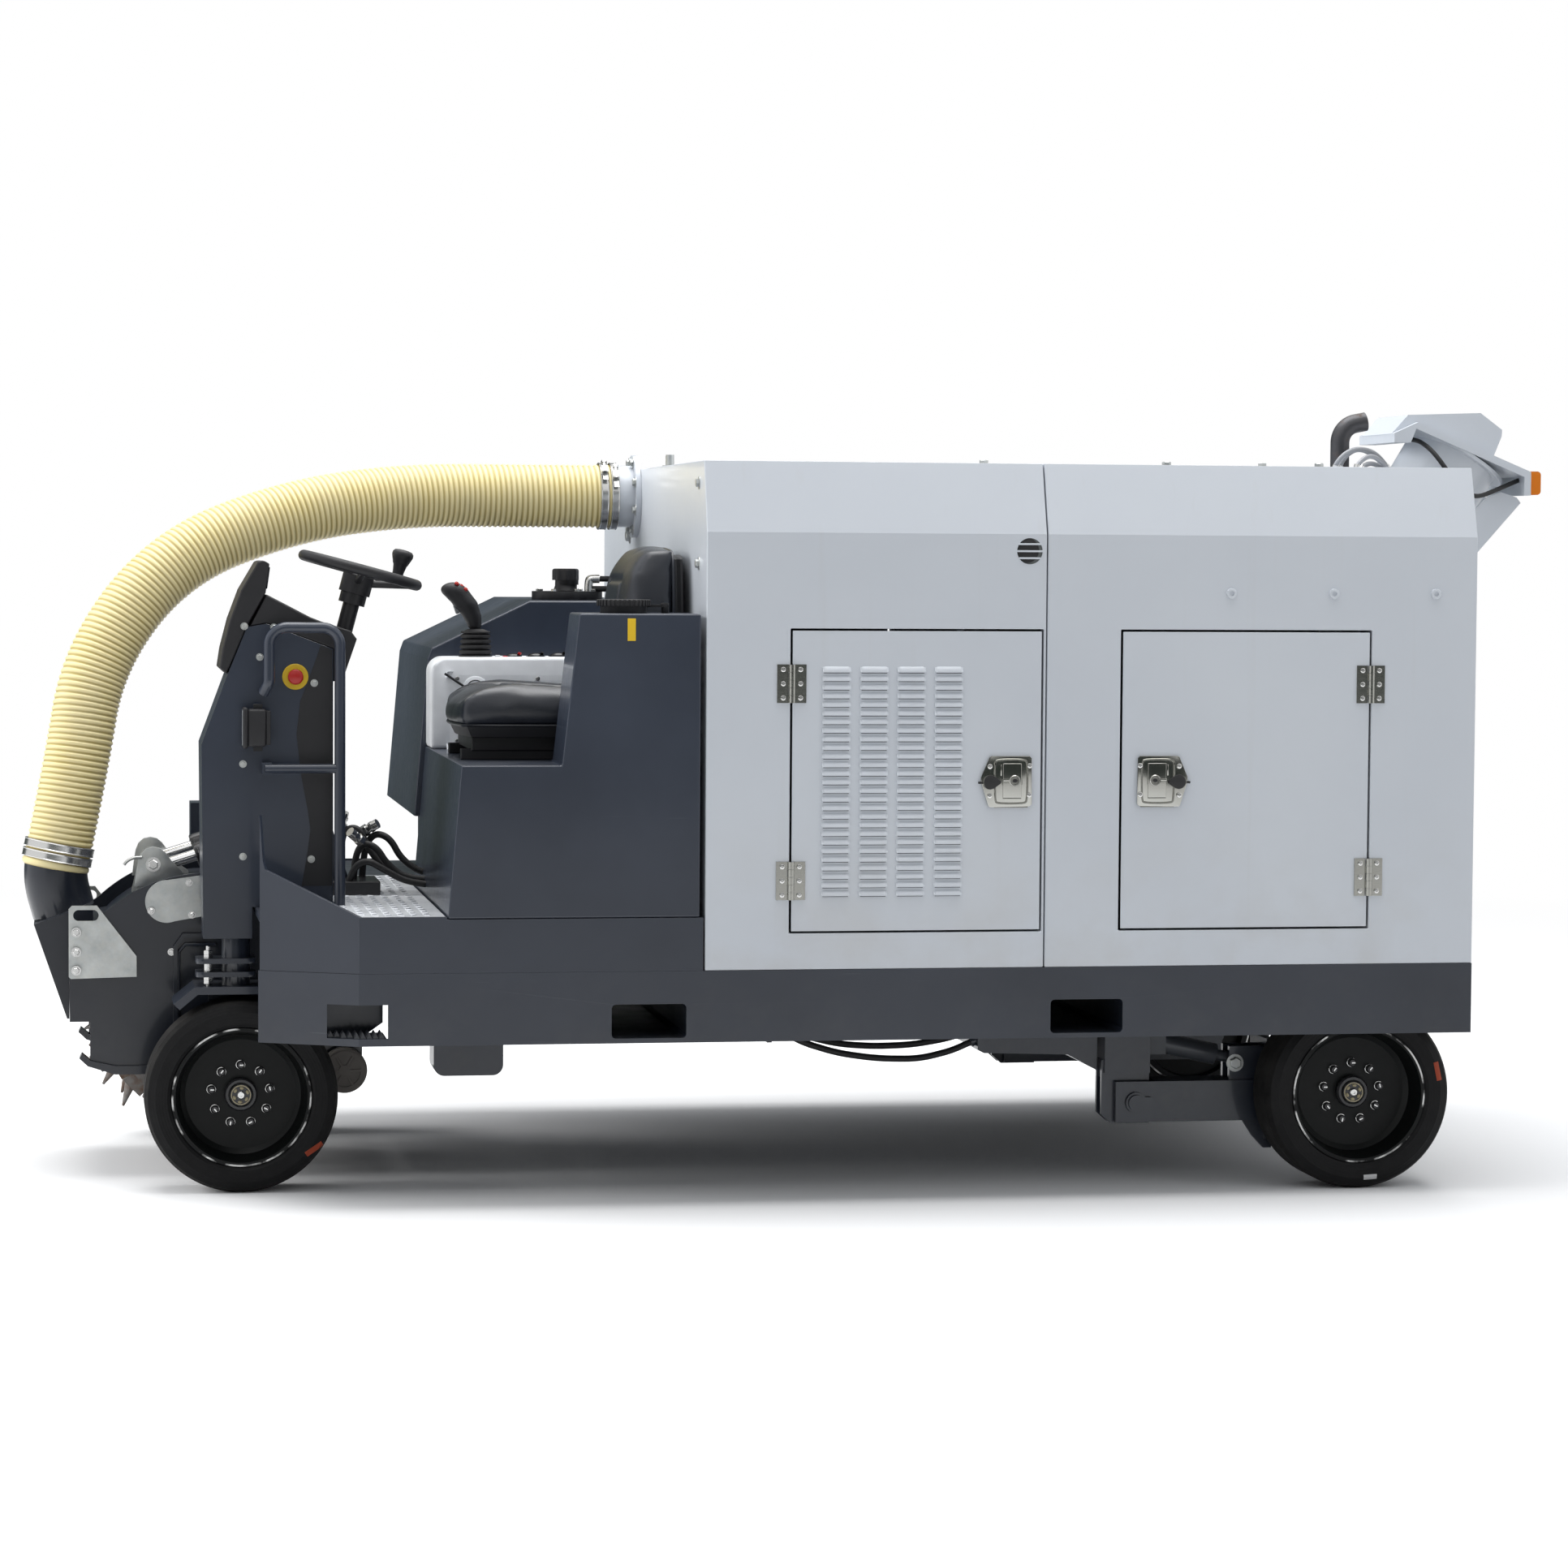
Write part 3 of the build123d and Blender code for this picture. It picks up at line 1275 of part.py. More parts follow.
for name, route in belly_routes.items():
    nodes[name] = hose_tube(route, belly_hose_r)
    for end, beside in ((0, 1), (-1, -2)):
        at = Vector(route[end])
        out = (at - Vector(route[beside])).normalized()
        nut = bar(at + out * gap, at + out * (46 if end == 0 else 24), 12)
        if end == 0:
            hanger += nut
        else:
            rear_box += nut
nodes["chassis_frame"] += hanger
nodes["belly_boxes"] = group(front_box, rear_box)

os.makedirs("parts", exist_ok=True)
for name, shape in nodes.items():
    export_step(shape, f"parts/{name}.step")
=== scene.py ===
import json
import math
import bpy
import bmesh
from mathutils import Matrix, Vector


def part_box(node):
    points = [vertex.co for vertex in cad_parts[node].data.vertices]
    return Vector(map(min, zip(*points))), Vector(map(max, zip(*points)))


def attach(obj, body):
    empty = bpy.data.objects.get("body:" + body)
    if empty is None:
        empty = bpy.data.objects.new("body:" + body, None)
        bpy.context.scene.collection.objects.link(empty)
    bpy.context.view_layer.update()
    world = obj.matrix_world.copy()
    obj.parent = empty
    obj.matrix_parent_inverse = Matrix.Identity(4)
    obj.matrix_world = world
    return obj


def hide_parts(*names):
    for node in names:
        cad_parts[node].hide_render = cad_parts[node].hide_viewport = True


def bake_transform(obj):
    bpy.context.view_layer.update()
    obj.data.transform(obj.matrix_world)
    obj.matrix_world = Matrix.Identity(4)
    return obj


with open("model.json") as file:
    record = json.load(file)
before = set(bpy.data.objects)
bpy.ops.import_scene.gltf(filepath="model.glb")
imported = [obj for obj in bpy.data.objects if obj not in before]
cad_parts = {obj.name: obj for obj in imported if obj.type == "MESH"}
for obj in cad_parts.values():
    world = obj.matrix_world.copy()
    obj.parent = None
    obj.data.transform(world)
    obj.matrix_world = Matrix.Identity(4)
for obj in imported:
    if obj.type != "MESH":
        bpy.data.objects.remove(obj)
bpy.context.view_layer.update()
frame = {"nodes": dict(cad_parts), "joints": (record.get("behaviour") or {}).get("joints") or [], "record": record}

print("frame loaded")

wall = -0.3726                           # x of the enclosure's front wall, in metres
left, right, front, up, down = (0, -1, 0), (0, 1, 0), (-1, 0, 0), (0, 0, 1), (0, 0, -1)


# Modelling helpers
def spot(x, y, z):                       # mm, x from the front wall
    return Vector((wall + x / 1000, y / 1000, z / 1000))


def move(x, y, z):
    return Matrix.Translation((x, y, z))


def turn(angle, axis):
    return Matrix.Rotation(math.radians(angle), 4, axis)


def stretch(x, y, z):
    return Matrix.Diagonal((x, y, z, 1))


def aimed(place, direction, roll=0.0):   # +Z of a model goes along direction
    facing = Vector(direction).to_track_quat("Z", "Y").to_matrix().to_4x4()
    return Matrix.Translation(place) @ facing @ Matrix.Rotation(roll, 4, "Z")


def between(value, table):               # straight lines between (key, result) pairs
    for (low, first), (high, second) in zip(table, table[1:]):
        if value <= high:
            return first + (second - first) * max(0.0, (value - low) / (high - low))
    return table[-1][1]


def linked(name, data):                  # a new object in the scene
    item = bpy.data.objects.new(name, data)
    bpy.context.scene.collection.objects.link(item)
    return item


def pick(*items):
    bpy.ops.object.select_all(action="DESELECT")
    for item in items:
        item.select_set(True)
    bpy.context.view_layer.objects.active = items[-1]


def forget(*items):
    for item in items:
        bpy.data.objects.remove(item)


def primitive(kind, at=None, **settings):         # its place, and then at, go into its mesh
    bpy.ops.object.select_all(action="DESELECT")
    getattr(bpy.ops.mesh, f"primitive_{kind}_add")(**settings)
    item = bpy.context.object
    item.data.transform((at or Matrix()) @ item.matrix_world)
    item.matrix_world = Matrix()
    return item


def onAll(item, deed, **settings):       # one edit-mode tool on the whole mesh
    pick(item)
    bpy.ops.object.mode_set(mode="EDIT")
    bpy.ops.mesh.select_all(action="SELECT")
    deed(**settings)
    bpy.ops.object.mode_set(mode="OBJECT")


def onSome(item, kind, test, deed, **settings):   # one edit-mode tool on the faces or edges that pass a test
    pick(item)
    bpy.ops.object.mode_set(mode="EDIT")
    bpy.ops.mesh.select_mode(type=kind)
    bpy.ops.mesh.select_all(action="DESELECT")
    mesh = bmesh.from_edit_mesh(item.data)
    for element in mesh.faces if kind == "FACE" else mesh.edges:
        element.select = bool(test(element))
    bmesh.update_edit_mesh(item.data)
    deed(**settings)
    bpy.ops.object.mode_set(mode="OBJECT")


def modify(item, kind, **settings):
    modifier = item.modifiers.new(kind.lower(), kind)
    for key, value in settings.items():
        setattr(modifier, key, value)
    pick(item)
    bpy.ops.object.modifier_apply(modifier=modifier.name)


def smooth(item, angle=35):
    pick(item)
    bpy.ops.object.shade_smooth_by_angle(angle=math.radians(angle))


def outward(item):
    onAll(item, bpy.ops.mesh.normals_make_consistent, inside=False)


def joinAll(name, *items):
    pick(*items)
    if len(items) > 1:
        bpy.ops.object.join()
    joined = bpy.context.object
    joined.name = name
    return joined


def spread(model, name, places):         # one copy a place, each with its own mesh, then joined
    copies = []
    for place in places:
        copy = linked("copy", model.data.copy())
        copy.data.transform(place)
        copies.append(copy)
    return joinAll(name, *copies)


def nurbsLine(points, detail):
    data = bpy.data.curves.new("line", "CURVE")
    data.dimensions = "3D"
    data.resolution_u = detail
    spline = data.splines.new("NURBS")
    spline.points.add(len(points) - 1)
    for end, point in zip(spline.points, points):
        end.co = (*point, 1)
    spline.order_u = 3
    spline.use_endpoint_u = True
    return linked("line", data)


def tubeAlong(points, radius, sides=12):          # a round tube on a smooth line
    line = nurbsLine(points, 8)
    line.data.bevel_depth = radius
    line.data.bevel_resolution = max(1, sides // 4 - 1)
    line.data.use_fill_caps = True
    pick(line)
    bpy.ops.object.convert(target="MESH")
    tube = bpy.context.object
    smooth(tube, 50)
    return tube


def meshOf(name, points, closed):        # a line of points, or one face when closed
    mesh = bpy.data.meshes.new(name)
    build = bmesh.new()
    spots = [build.verts.new(point) for point in points]
    if closed:
        build.faces.new(spots)
    else:
        for pair in zip(spots, spots[1:]):
            build.edges.new(pair)
    build.to_mesh(mesh)
    build.free()
    return linked(name, mesh)


def lathe(profile, sides=40, at=None):   # (radius, height) points turned round Z
    item = meshOf("lathe", [(radius, 0, height) for radius, height in profile], False)
    modify(item, "SCREW", axis="Z", angle=2 * math.pi, steps=sides, render_steps=sides,
           use_merge_vertices=True, merge_threshold=0.00005)
    outward(item)
    item.data.transform(at or Matrix())
    return item


def bevelled(low, high, width=0.002, segments=2, at=None):   # a box between two corners, in metres, with rounded edges
    middle = [(a + b) / 2 for a, b in zip(low, high)]
    box = primitive("cube", size=1, at=move(*middle) @ stretch(*[b - a for a, b in zip(low, high)]))
    modify(box, "BEVEL", width=width, segments=segments)
    box.data.transform(at or Matrix())
    return box


def plateOf(outline, y0, y1, width=0.0015):       # a flat plate from (x, z) points in mm
    item = meshOf("plate", [spot(x, y0, z) for x, z in outline], True)
    onAll(item, bpy.ops.mesh.extrude_region_move, TRANSFORM_OT_translate={"value": Vector((0, (y1 - y0) / 1000, 0))})
    outward(item)
    modify(item, "BEVEL", width=width, segments=2, limit_method="ANGLE", angle_limit=math.radians(50))
    return item


slots = {row["node"]: row["material_slot"] for row in frame["record"]["subparts"]}


def dress(item, name, finish, body="chassis", angle=0, slot=None):     # finish is a key of finishes, or a material; slot is not used
    if angle:
        smooth(item, angle)
    item.name = name
    item.data.name = name
    item.data.materials.append(finishes[finish] if isinstance(finish, str) else finish)
    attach(item, body)
    if slot or finish in slots.values():
        slot or finish
    return item


# Camera, at the photograph's place
camera = {
    "place": (wall - 1.47775, -10.69756, 1.53347),
    "turn": (-9.68, -3.11, -0.37),       # to the left, down, tilt, in degrees
    "lens": 97.15,
}


def makeCamera():
    yaw, pitch, roll = camera["turn"]
    across, ahead, above, rest = (turn(yaw, "Z") @ turn(pitch, "X") @ turn(roll, "Y")).col
    data = bpy.data.cameras.new("camera")
    data.lens = camera["lens"]
    data.sensor_width = 36
    data.clip_end = 200
    eye = linked("camera", data)
    eye.matrix_world = Matrix.Translation(camera["place"]) @ Matrix((across, above, -ahead, rest)).transposed()
    bpy.context.scene.camera = eye


# Light and floor
studio = {
    "sky": (0.16, 0.66),                  # at the horizon, overhead
    "lamps": [                            # place, aim, side length, watts
        ((-4.0, -9.5, 6.5), (0.0, 0.0, 0.8), 7.0, 35),
        ((7.5, -6.0, 5.0), (0.5, 0.0, 1.0), 5.0, 55),
        ((0.0, 0.5, 9.0), (0.0, 0.0, 0.0), 8.0, 930),
        ((-9.0, 1.5, 4.5), (0.0, 0.0, 1.0), 5.0, 600),
    ],
    "cards": [((-1.0, 5.5, 2.4), 16, 4.8), ((0.0, -15.0, 3.2), 26, 6.4)],       # middle, width, height
    "floor": (0.93, 0.93, 0.93, 1),
    "bounce": (0.58, 0.58, 0.58, 1),
}


def addNode(tree, kind, settings=None, inputs=None, output=0):       # each input is a socket or a value
    made = tree.nodes.new(kind)
    for key, value in (settings or {}).items():
        setattr(made, key, value)
    for key, value in (inputs or {}).items():
        if isinstance(value, bpy.types.NodeSocket):
            tree.links.new(value, made.inputs[key])
        else:
            made.inputs[key].default_value = value
    return made.outputs[output]


def shownRays(tree):                      # 1 for rays from the camera, in reflections and through glass
    rays = tree.nodes.new("ShaderNodeLightPath").outputs
    larger = {"operation": "MAXIMUM"}
    seen = addNode(tree, "ShaderNodeMath", larger, {0: rays["Is Camera Ray"], 1: rays["Is Glossy Ray"]})
    return addNode(tree, "ShaderNodeMath", larger, {0: seen, 1: rays["Is Transmission Ray"]})


def plainMaterial(name, rough):
    material = bpy.data.materials.new(name)
    material.use_nodes = True
    shader = material.node_tree.nodes["Principled BSDF"]
    shader.inputs["Roughness"].default_value = rough
    return material, material.node_tree, shader


def makeLamps():
    for index, (place, aim, side, watts) in enumerate(studio["lamps"]):
        data = bpy.data.lights.new(f"softbox{index}", "AREA")
        data.size = side
        data.energy = watts
        lamp = linked(data.name, data)
        lamp.location = place
        lamp.visible_glossy = place[0] > -8
        lamp.rotation_mode = "QUATERNION"
        lamp.rotation_quaternion = (Vector(aim) - Vector(place)).to_track_quat("-Z", "Y")
    dark, tree, shader = plainMaterial("cardDark", 1.0)       # dark cards that only reflections meet
    shader.inputs["Base Color"].default_value = (0.035, 0.045, 0.040, 1)
    for index, (place, wide, high) in enumerate(studio["cards"]):
        card = primitive("plane", size=1, at=move(*place) @ turn(90, "X") @ stretch(wide, high, 1))
        card.name = f"darkCard{index}"
        card.data.materials.append(dark)
        card.visible_camera = card.visible_diffuse = card.visible_shadow = False


def makeSky():
    world = bpy.data.worlds.new("sky")
    bpy.context.scene.world = world
    world.use_nodes = True
    tree = world.node_tree
    tree.nodes.clear()
    facing = addNode(tree, "ShaderNodeTexCoord", output="Generated")
    height = addNode(tree, "ShaderNodeSeparateXYZ", inputs={0: facing}, output="Z")
    horizon, overhead = studio["sky"]
    dome = addNode(tree, "ShaderNodeMapRange", inputs={
        "Value": height, "From Min": 0.0, "From Max": 0.7, "To Min": horizon, "To Max": overhead})
    lit = addNode(tree, "ShaderNodeBackground", inputs={"Color": (0.93, 0.96, 1.0, 1), "Strength": dome})
    seen = addNode(tree, "ShaderNodeBackground", inputs={"Color": (1, 1, 1, 1)})
    mixed = addNode(tree, "ShaderNodeMixShader", inputs={0: shownRays(tree), 1: lit, 2: seen})
    tree.links.new(mixed, tree.nodes.new("ShaderNodeOutputWorld").inputs[0])


def makeFloor():                          # lit near the object, and plain white further off
    floor = primitive("plane", size=1, at=stretch(120, 120, 1))
    floor.name = "floor"
    finish, tree, shader = plainMaterial("floorPaint", 0.95)
    tone = addNode(tree, "ShaderNodeMix", {"data_type": "RGBA"}, {
        0: shownRays(tree), 6: studio["bounce"], 7: studio["floor"]}, 2)
    tree.links.new(tone, shader.inputs["Base Color"])
    place = addNode(tree, "ShaderNodeTexCoord", output="Object")
    away = addNode(tree, "ShaderNodeVectorMath", {"operation": "LENGTH"}, {0: place}, "Value")
    fade = addNode(tree, "ShaderNodeMapRange", inputs={"Value": away, "From Min": 3.0, "From Max": 9.0})
    glow = addNode(tree, "ShaderNodeEmission")
    whole = addNode(tree, "ShaderNodeMixShader", inputs={0: fade, 1: shader.outputs[0], 2: glow})
    tree.links.new(whole, tree.nodes["Material Output"].inputs["Surface"])
    floor.data.materials.append(finish)


bpy.context.scene.view_settings.view_transform = "Standard"
makeCamera()
makeLamps()
makeSky()
makeFloor()
print("camera and studio made")


# Finishes
def mathsBy(operation, turned=False):
    return lambda self, *other: self.maths(operation, *((*other, self) if turned else (self, *other)))


class Level:                              # a shader value; + - * ** add Math nodes
    def __init__(self, paint, socket):
        self.paint = paint
        self.socket = socket

    def maths(self, operation, *values):
        return self.paint.node("ShaderNodeMath", {"operation": operation}, dict(enumerate(values)))

    def between(self, low, high):         # 0 at low, 1 at high, clamped
        return self.paint.node("ShaderNodeMapRange", {"clamp": True}, {0: self, 1: low, 2: high})

    __add__, __radd__ = mathsBy("ADD"), mathsBy("ADD", True)
    __sub__, __rsub__ = mathsBy("SUBTRACT"), mathsBy("SUBTRACT", True)
    __mul__ = mathsBy("MULTIPLY")
    __pow__ = mathsBy("POWER")
    wave = mathsBy("SINE")


class Paint:                              # one material and its nodes
    def __init__(self, name):
        self.material, self.tree, self.shader = plainMaterial(name, 0.5)
        self.spot = self.node("ShaderNodeTexCoord", output="Object")

    def node(self, kind, settings=None, inputs=None, output=0):
        plain = {key: value.socket if isinstance(value, Level) else value for key, value in (inputs or {}).items()}
        return Level(self, addNode(self.tree, kind, settings, plain, output))

    def done(self, feeds):                # the shader's inputs
        for name, value in feeds.items():
            if isinstance(value, Level):
                self.tree.links.new(value.socket, self.shader.inputs[name])
            else:
                self.shader.inputs[name].default_value = value
        return self.material

    def axis(self, name):                 # X, Y or Z of the Object coordinate
        return self.node("ShaderNodeSeparateXYZ", inputs={0: self.spot}, output=name)

    def away(self, x, z):                 # distance from a line along Y
        across, above = self.axis("X") - x, self.axis("Z") - z
        return (across * across + above * above) ** 0.5

    def upward(self):                     # z of the surface normal
        normal = self.node("ShaderNodeNewGeometry", output="Normal")
        return self.node("ShaderNodeSeparateXYZ", inputs={0: normal}, output=2)

    def stretched(self, scale, turned=(0, 0, 0)):
        return self.node("ShaderNodeMapping", inputs={"Vector": self.spot, "Scale": scale, "Rotation": turned})

    def noise(self, scale, detail=3.0, rough=0.5, at=None):
        return self.node("ShaderNodeTexNoise", {}, {
            "Vector": at or self.spot, "Scale": scale, "Detail": detail, "Roughness": rough})

    def cells(self, scale, feature="F1"):
        return self.node("ShaderNodeTexVoronoi", {"feature": feature}, {"Vector": self.spot, "Scale": scale})

    def tint(self, amount, *colours):     # colour from low to high
        low, high = [(*colour, 1) if isinstance(colour, tuple) else colour for colour in colours]
        return self.node("ShaderNodeMix", {"data_type": "RGBA"}, {0: amount, 6: low, 7: high}, 2)

    def bump(self, height, strength, distance, over=None):
        inputs = {"Height": height, "Strength": strength, "Distance": distance}
        return self.node("ShaderNodeBump", {}, {**inputs, "Normal": over} if over else inputs)


def shade(colour, share):
    return tuple(min(1, c * share) for c in colour)


def whitePaint():
    paint = Paint("whitePaint")
    low = (1 - paint.axis("Z").between(0.56, 0.95)) * paint.noise(7, 4).between(0.42, 0.75)
    colour = paint.tint(paint.noise(1.7, 4).between(0.3, 0.7), (0.59, 0.625, 0.675), (0.635, 0.67, 0.715))
    colour = paint.tint(low * 0.35, colour, (0.47, 0.45, 0.41))
    streak = paint.noise(1, 3, at=paint.stretched((26, 26, 0.9))).between(0.62, 0.85)
    return paint.done({
        "Base Color": paint.tint(streak * 0.16, colour, (0.50, 0.49, 0.46)),
        "Roughness": 0.30 + paint.noise(60, 2) * 0.10 + low * 0.25,
        "Coat Weight": 0.25,
        "Coat Roughness": 0.12,
        "Normal": paint.bump(paint.noise(420, 2), 0.10, 0.0006, paint.bump(paint.noise(2.2, 2), 0.35, 0.004)),
    })


def framePaint(name="framePaint", light=(0.033, 0.041, 0.060), dark=(0.0205, 0.0265, 0.041), dust=0.16):
    paint = Paint(name)
    height = paint.axis("Z")
    cloud = paint.noise(2.4, 4).between(0.3, 0.72)
    # painted shade and painted light: darker copies of the paint low down and lighter copies high up, blended by height
    # between 0.5 m and 1.15 m
    low = paint.tint(cloud, shade(dark, 0.72), shade(light, 0.76))
    high = paint.tint(cloud, shade(dark, 1.25), shade(light, 1.25))
    colour = paint.tint(height.between(0.50, 1.15), low, high)
    patches = paint.noise(9, 5, 0.62)
    settled = paint.upward().between(0.75, 1.0) * patches.between(0.36, 0.72) * dust
    colour = paint.tint(settled, colour, (0.20, 0.195, 0.18))
    splash = (1 - height.between(0.18, 0.62)) * patches.between(0.45, 0.78) * dust
    colour = paint.tint(splash * 1.3, colour, (0.13, 0.12, 0.105))
    scrape = paint.noise(1, 3, at=paint.stretched((5, 5, 130), (0.3, 0.5, 0.1))).between(0.70, 0.80)
    scrape = scrape * paint.noise(3.4, 2).between(0.55, 0.7)
    return paint.done({
        "Base Color": paint.tint(scrape * 0.35, colour, (0.13, 0.14, 0.16)),
        "Roughness": 0.27 + paint.noise(45, 3) * 0.12 + settled * 0.8 + splash * 0.9,
        "Coat Weight": 0.35,
        "Coat Roughness": 0.10,
        "Specular IOR Level": 0.4,
        "Normal": paint.bump(paint.noise(380, 2), 0.12, 0.0006, paint.bump(paint.noise(3, 2), 0.3, 0.003)),
    })


def zincPlate():
    paint = Paint("zincPlate")
    bloom = paint.noise(22, 5, 0.6)
    colour = paint.tint(bloom.between(0.3, 0.75), (0.40, 0.42, 0.42), (0.58, 0.60, 0.59))
    return paint.done({
        "Base Color": paint.tint(paint.cells(70).between(0.2, 0.9) * 0.25, colour, (0.55, 0.53, 0.47)),
        "Metallic": 0.85,
        "Roughness": 0.30 + bloom * 0.25,
        "Normal": paint.bump(paint.noise(160, 3), 0.25, 0.0008),
    })


def brightSteel(name="brightSteel", colour=(0.66, 0.66, 0.65), rough=0.18):
    paint = Paint(name)
    hair = paint.noise(1, 3, at=paint.stretched((40, 900, 900)))
    return paint.done({
        "Base Color": paint.tint(hair, shade(colour, 0.85), colour),
        "Metallic": 1.0,
        "Roughness": rough + hair * 0.12,
        "Normal": paint.bump(hair, 0.06, 0.0004),
    })


def treadAluminium():
    paint = Paint("treadAluminium")
    colour = paint.tint(paint.noise(14, 5, 0.6).between(0.35, 0.7), (0.60, 0.62, 0.65), (0.80, 0.82, 0.85))
    dirt = paint.noise(4.5, 5).between(0.5, 0.8)
    return paint.done({
        "Base Color": paint.tint(dirt * 0.35, colour, (0.17, 0.16, 0.15)),
        "Metallic": 0.35,
        "Roughness": 0.34 + dirt * 0.35,
        "Normal": paint.bump(paint.noise(240, 3), 0.2, 0.0006),
    })


def blackPlastic(name="blackPlastic", colour=(0.013, 0.013, 0.015), rough=0.42, grain=700):
    paint = Paint(name)
    tone = paint.noise(12, 3)
    dust = paint.upward().between(0.6, 1.0) * paint.noise(18, 4).between(0.4, 0.8)
    return paint.done({
        "Base Color": paint.tint(tone, shade(colour, 0.75), shade(colour, 1.3)),
        "Roughness": rough + tone * 0.12 + dust * 0.25,
        "Specular IOR Level": 0.4,
        "Normal": paint.bump(paint.cells(grain), 0.14, 0.0005),
    })


def seatLeather():
    paint = Paint("seatLeather")
    tone = paint.noise(8, 3)
    grain = paint.cells(420, "DISTANCE_TO_EDGE").between(0.0, 0.22)
    crease = paint.noise(30, 4, 0.6)
    return paint.done({
        "Base Color": paint.tint(tone, (0.007, 0.009, 0.014), (0.013, 0.017, 0.027)),
        "Coat Weight": 0.2,
        "Coat Roughness": 0.3,
        "Roughness": 0.27 + tone * 0.14,
        "Normal": paint.bump(grain, 0.22, 0.0006, paint.bump(crease, 0.10, 0.0022)),
    })


def tyreRubber(name, x, z):
    paint = Paint(name)
    radius = paint.away(x, z)
    scuff = paint.noise(16, 5, 0.62)
    fine = paint.noise(90, 3)
    colour = paint.tint(scuff.between(0.3, 0.75), (0.003, 0.003, 0.0035), (0.007, 0.007, 0.0075))
    tread = radius.between(0.218, 0.228)
    rings = (radius * 900).wave() * (1 - tread) * 0.4
    return paint.done({
        "Base Color": paint.tint(tread * scuff.between(0.25, 0.7) * 0.4, colour, (0.050, 0.047, 0.043)),
        "Roughness": 0.52 + fine * 0.15 + tread * 0.2,
        "Specular IOR Level": 0.2,
        "Normal": paint.bump(rings + fine, 0.22, 0.0010),
    })


def rimPaint(name, x, z):
    paint = Paint(name)
    tone = paint.noise(30, 4, 0.6)
    # painted highlight: a thin silver ring on the rim's lip, broken by noise, drawn as bare metal
    lipHighlight = paint.away(x, z).between(0.1615, 0.1622) * paint.noise(17, 4).between(0.46, 0.56)
    colour = paint.tint(tone, (0.002, 0.0025, 0.0025), (0.005, 0.006, 0.006))
    return paint.done({
        "Base Color": paint.tint(lipHighlight, colour, (0.55, 0.55, 0.54)),
        "Metallic": lipHighlight,
        "Specular IOR Level": 0.2,
        "Roughness": 0.34 + tone * 0.14,
        "Normal": paint.bump(paint.noise(150, 3), 0.16, 0.0008),
    })


def creamHose():
    paint = Paint("creamHose")
    ridge = paint.node("ShaderNodeAttribute", {"attribute_name": "ridge"}, output=2)
    cloud = paint.noise(9, 4)
    # painted shade in the grooves and painted highlight on the ribs: dark where the rib is low, pale where it is high
    colour = paint.tint(ridge.between(0.0, 0.75), (0.54, 0.42, 0.14), (0.95, 0.82, 0.43))
    return paint.done({
        "Base Color": paint.tint(cloud.between(0.35, 0.75) * 0.22, colour, (0.66, 0.62, 0.46)),
        "Roughness": 0.32 + cloud * 0.14,
        "Normal": paint.bump(paint.noise(260, 2), 0.10, 0.0006),
    })


def amberLens():
    paint = Paint("amberLens")
    ribs = (paint.axis("Y") * 900).wave()
    return paint.done({
        "Base Color": paint.tint(ribs.between(-1, 1), (0.80, 0.16, 0.01), (0.95, 0.30, 0.03)),
        "Roughness": 0.16,
        "Transmission Weight": 0.25,
        "Normal": paint.bump(ribs, 0.3, 0.0012),
    })


def wornSteel(name, bare, rust, share):
    paint = Paint(name)
    blot = paint.noise(26, 6, 0.65)
    rusty = blot.between(0.62 - 0.2 * share, 0.75)
    return paint.done({
        "Base Color": paint.tint(rusty, bare, rust),
        "Metallic": (1 - rusty) * 0.7,
        "Roughness": 0.42 + rusty * 0.4,
        "Normal": paint.bump(blot, 0.5, 0.0016),
    })


def plainGloss(name, colour, rough=0.25, grain=0.06):
    paint = Paint(name)
    tone = paint.noise(25, 3)
    return paint.done({
        "Base Color": paint.tint(tone, shade(colour, 0.88), shade(colour, 1.08)),
        "Roughness": rough + tone * 0.08,
        "Normal": paint.bump(paint.noise(200, 2), grain, 0.0006),
    })


def ventHoleShade(x, z):                       # painted shade and painted light: dark inside the hole, with a paler rim towards the lower left where light falls on its inner wall
    paint = Paint("ventHoleShade")
    edge = paint.away(x - 0.008, z + 0.002).between(0.0290, 0.0315)
    return paint.done({
        "Base Color": paint.tint(edge, (0.004, 0.004, 0.005), (0.10, 0.11, 0.11)),
        "Roughness": 0.7,
    })


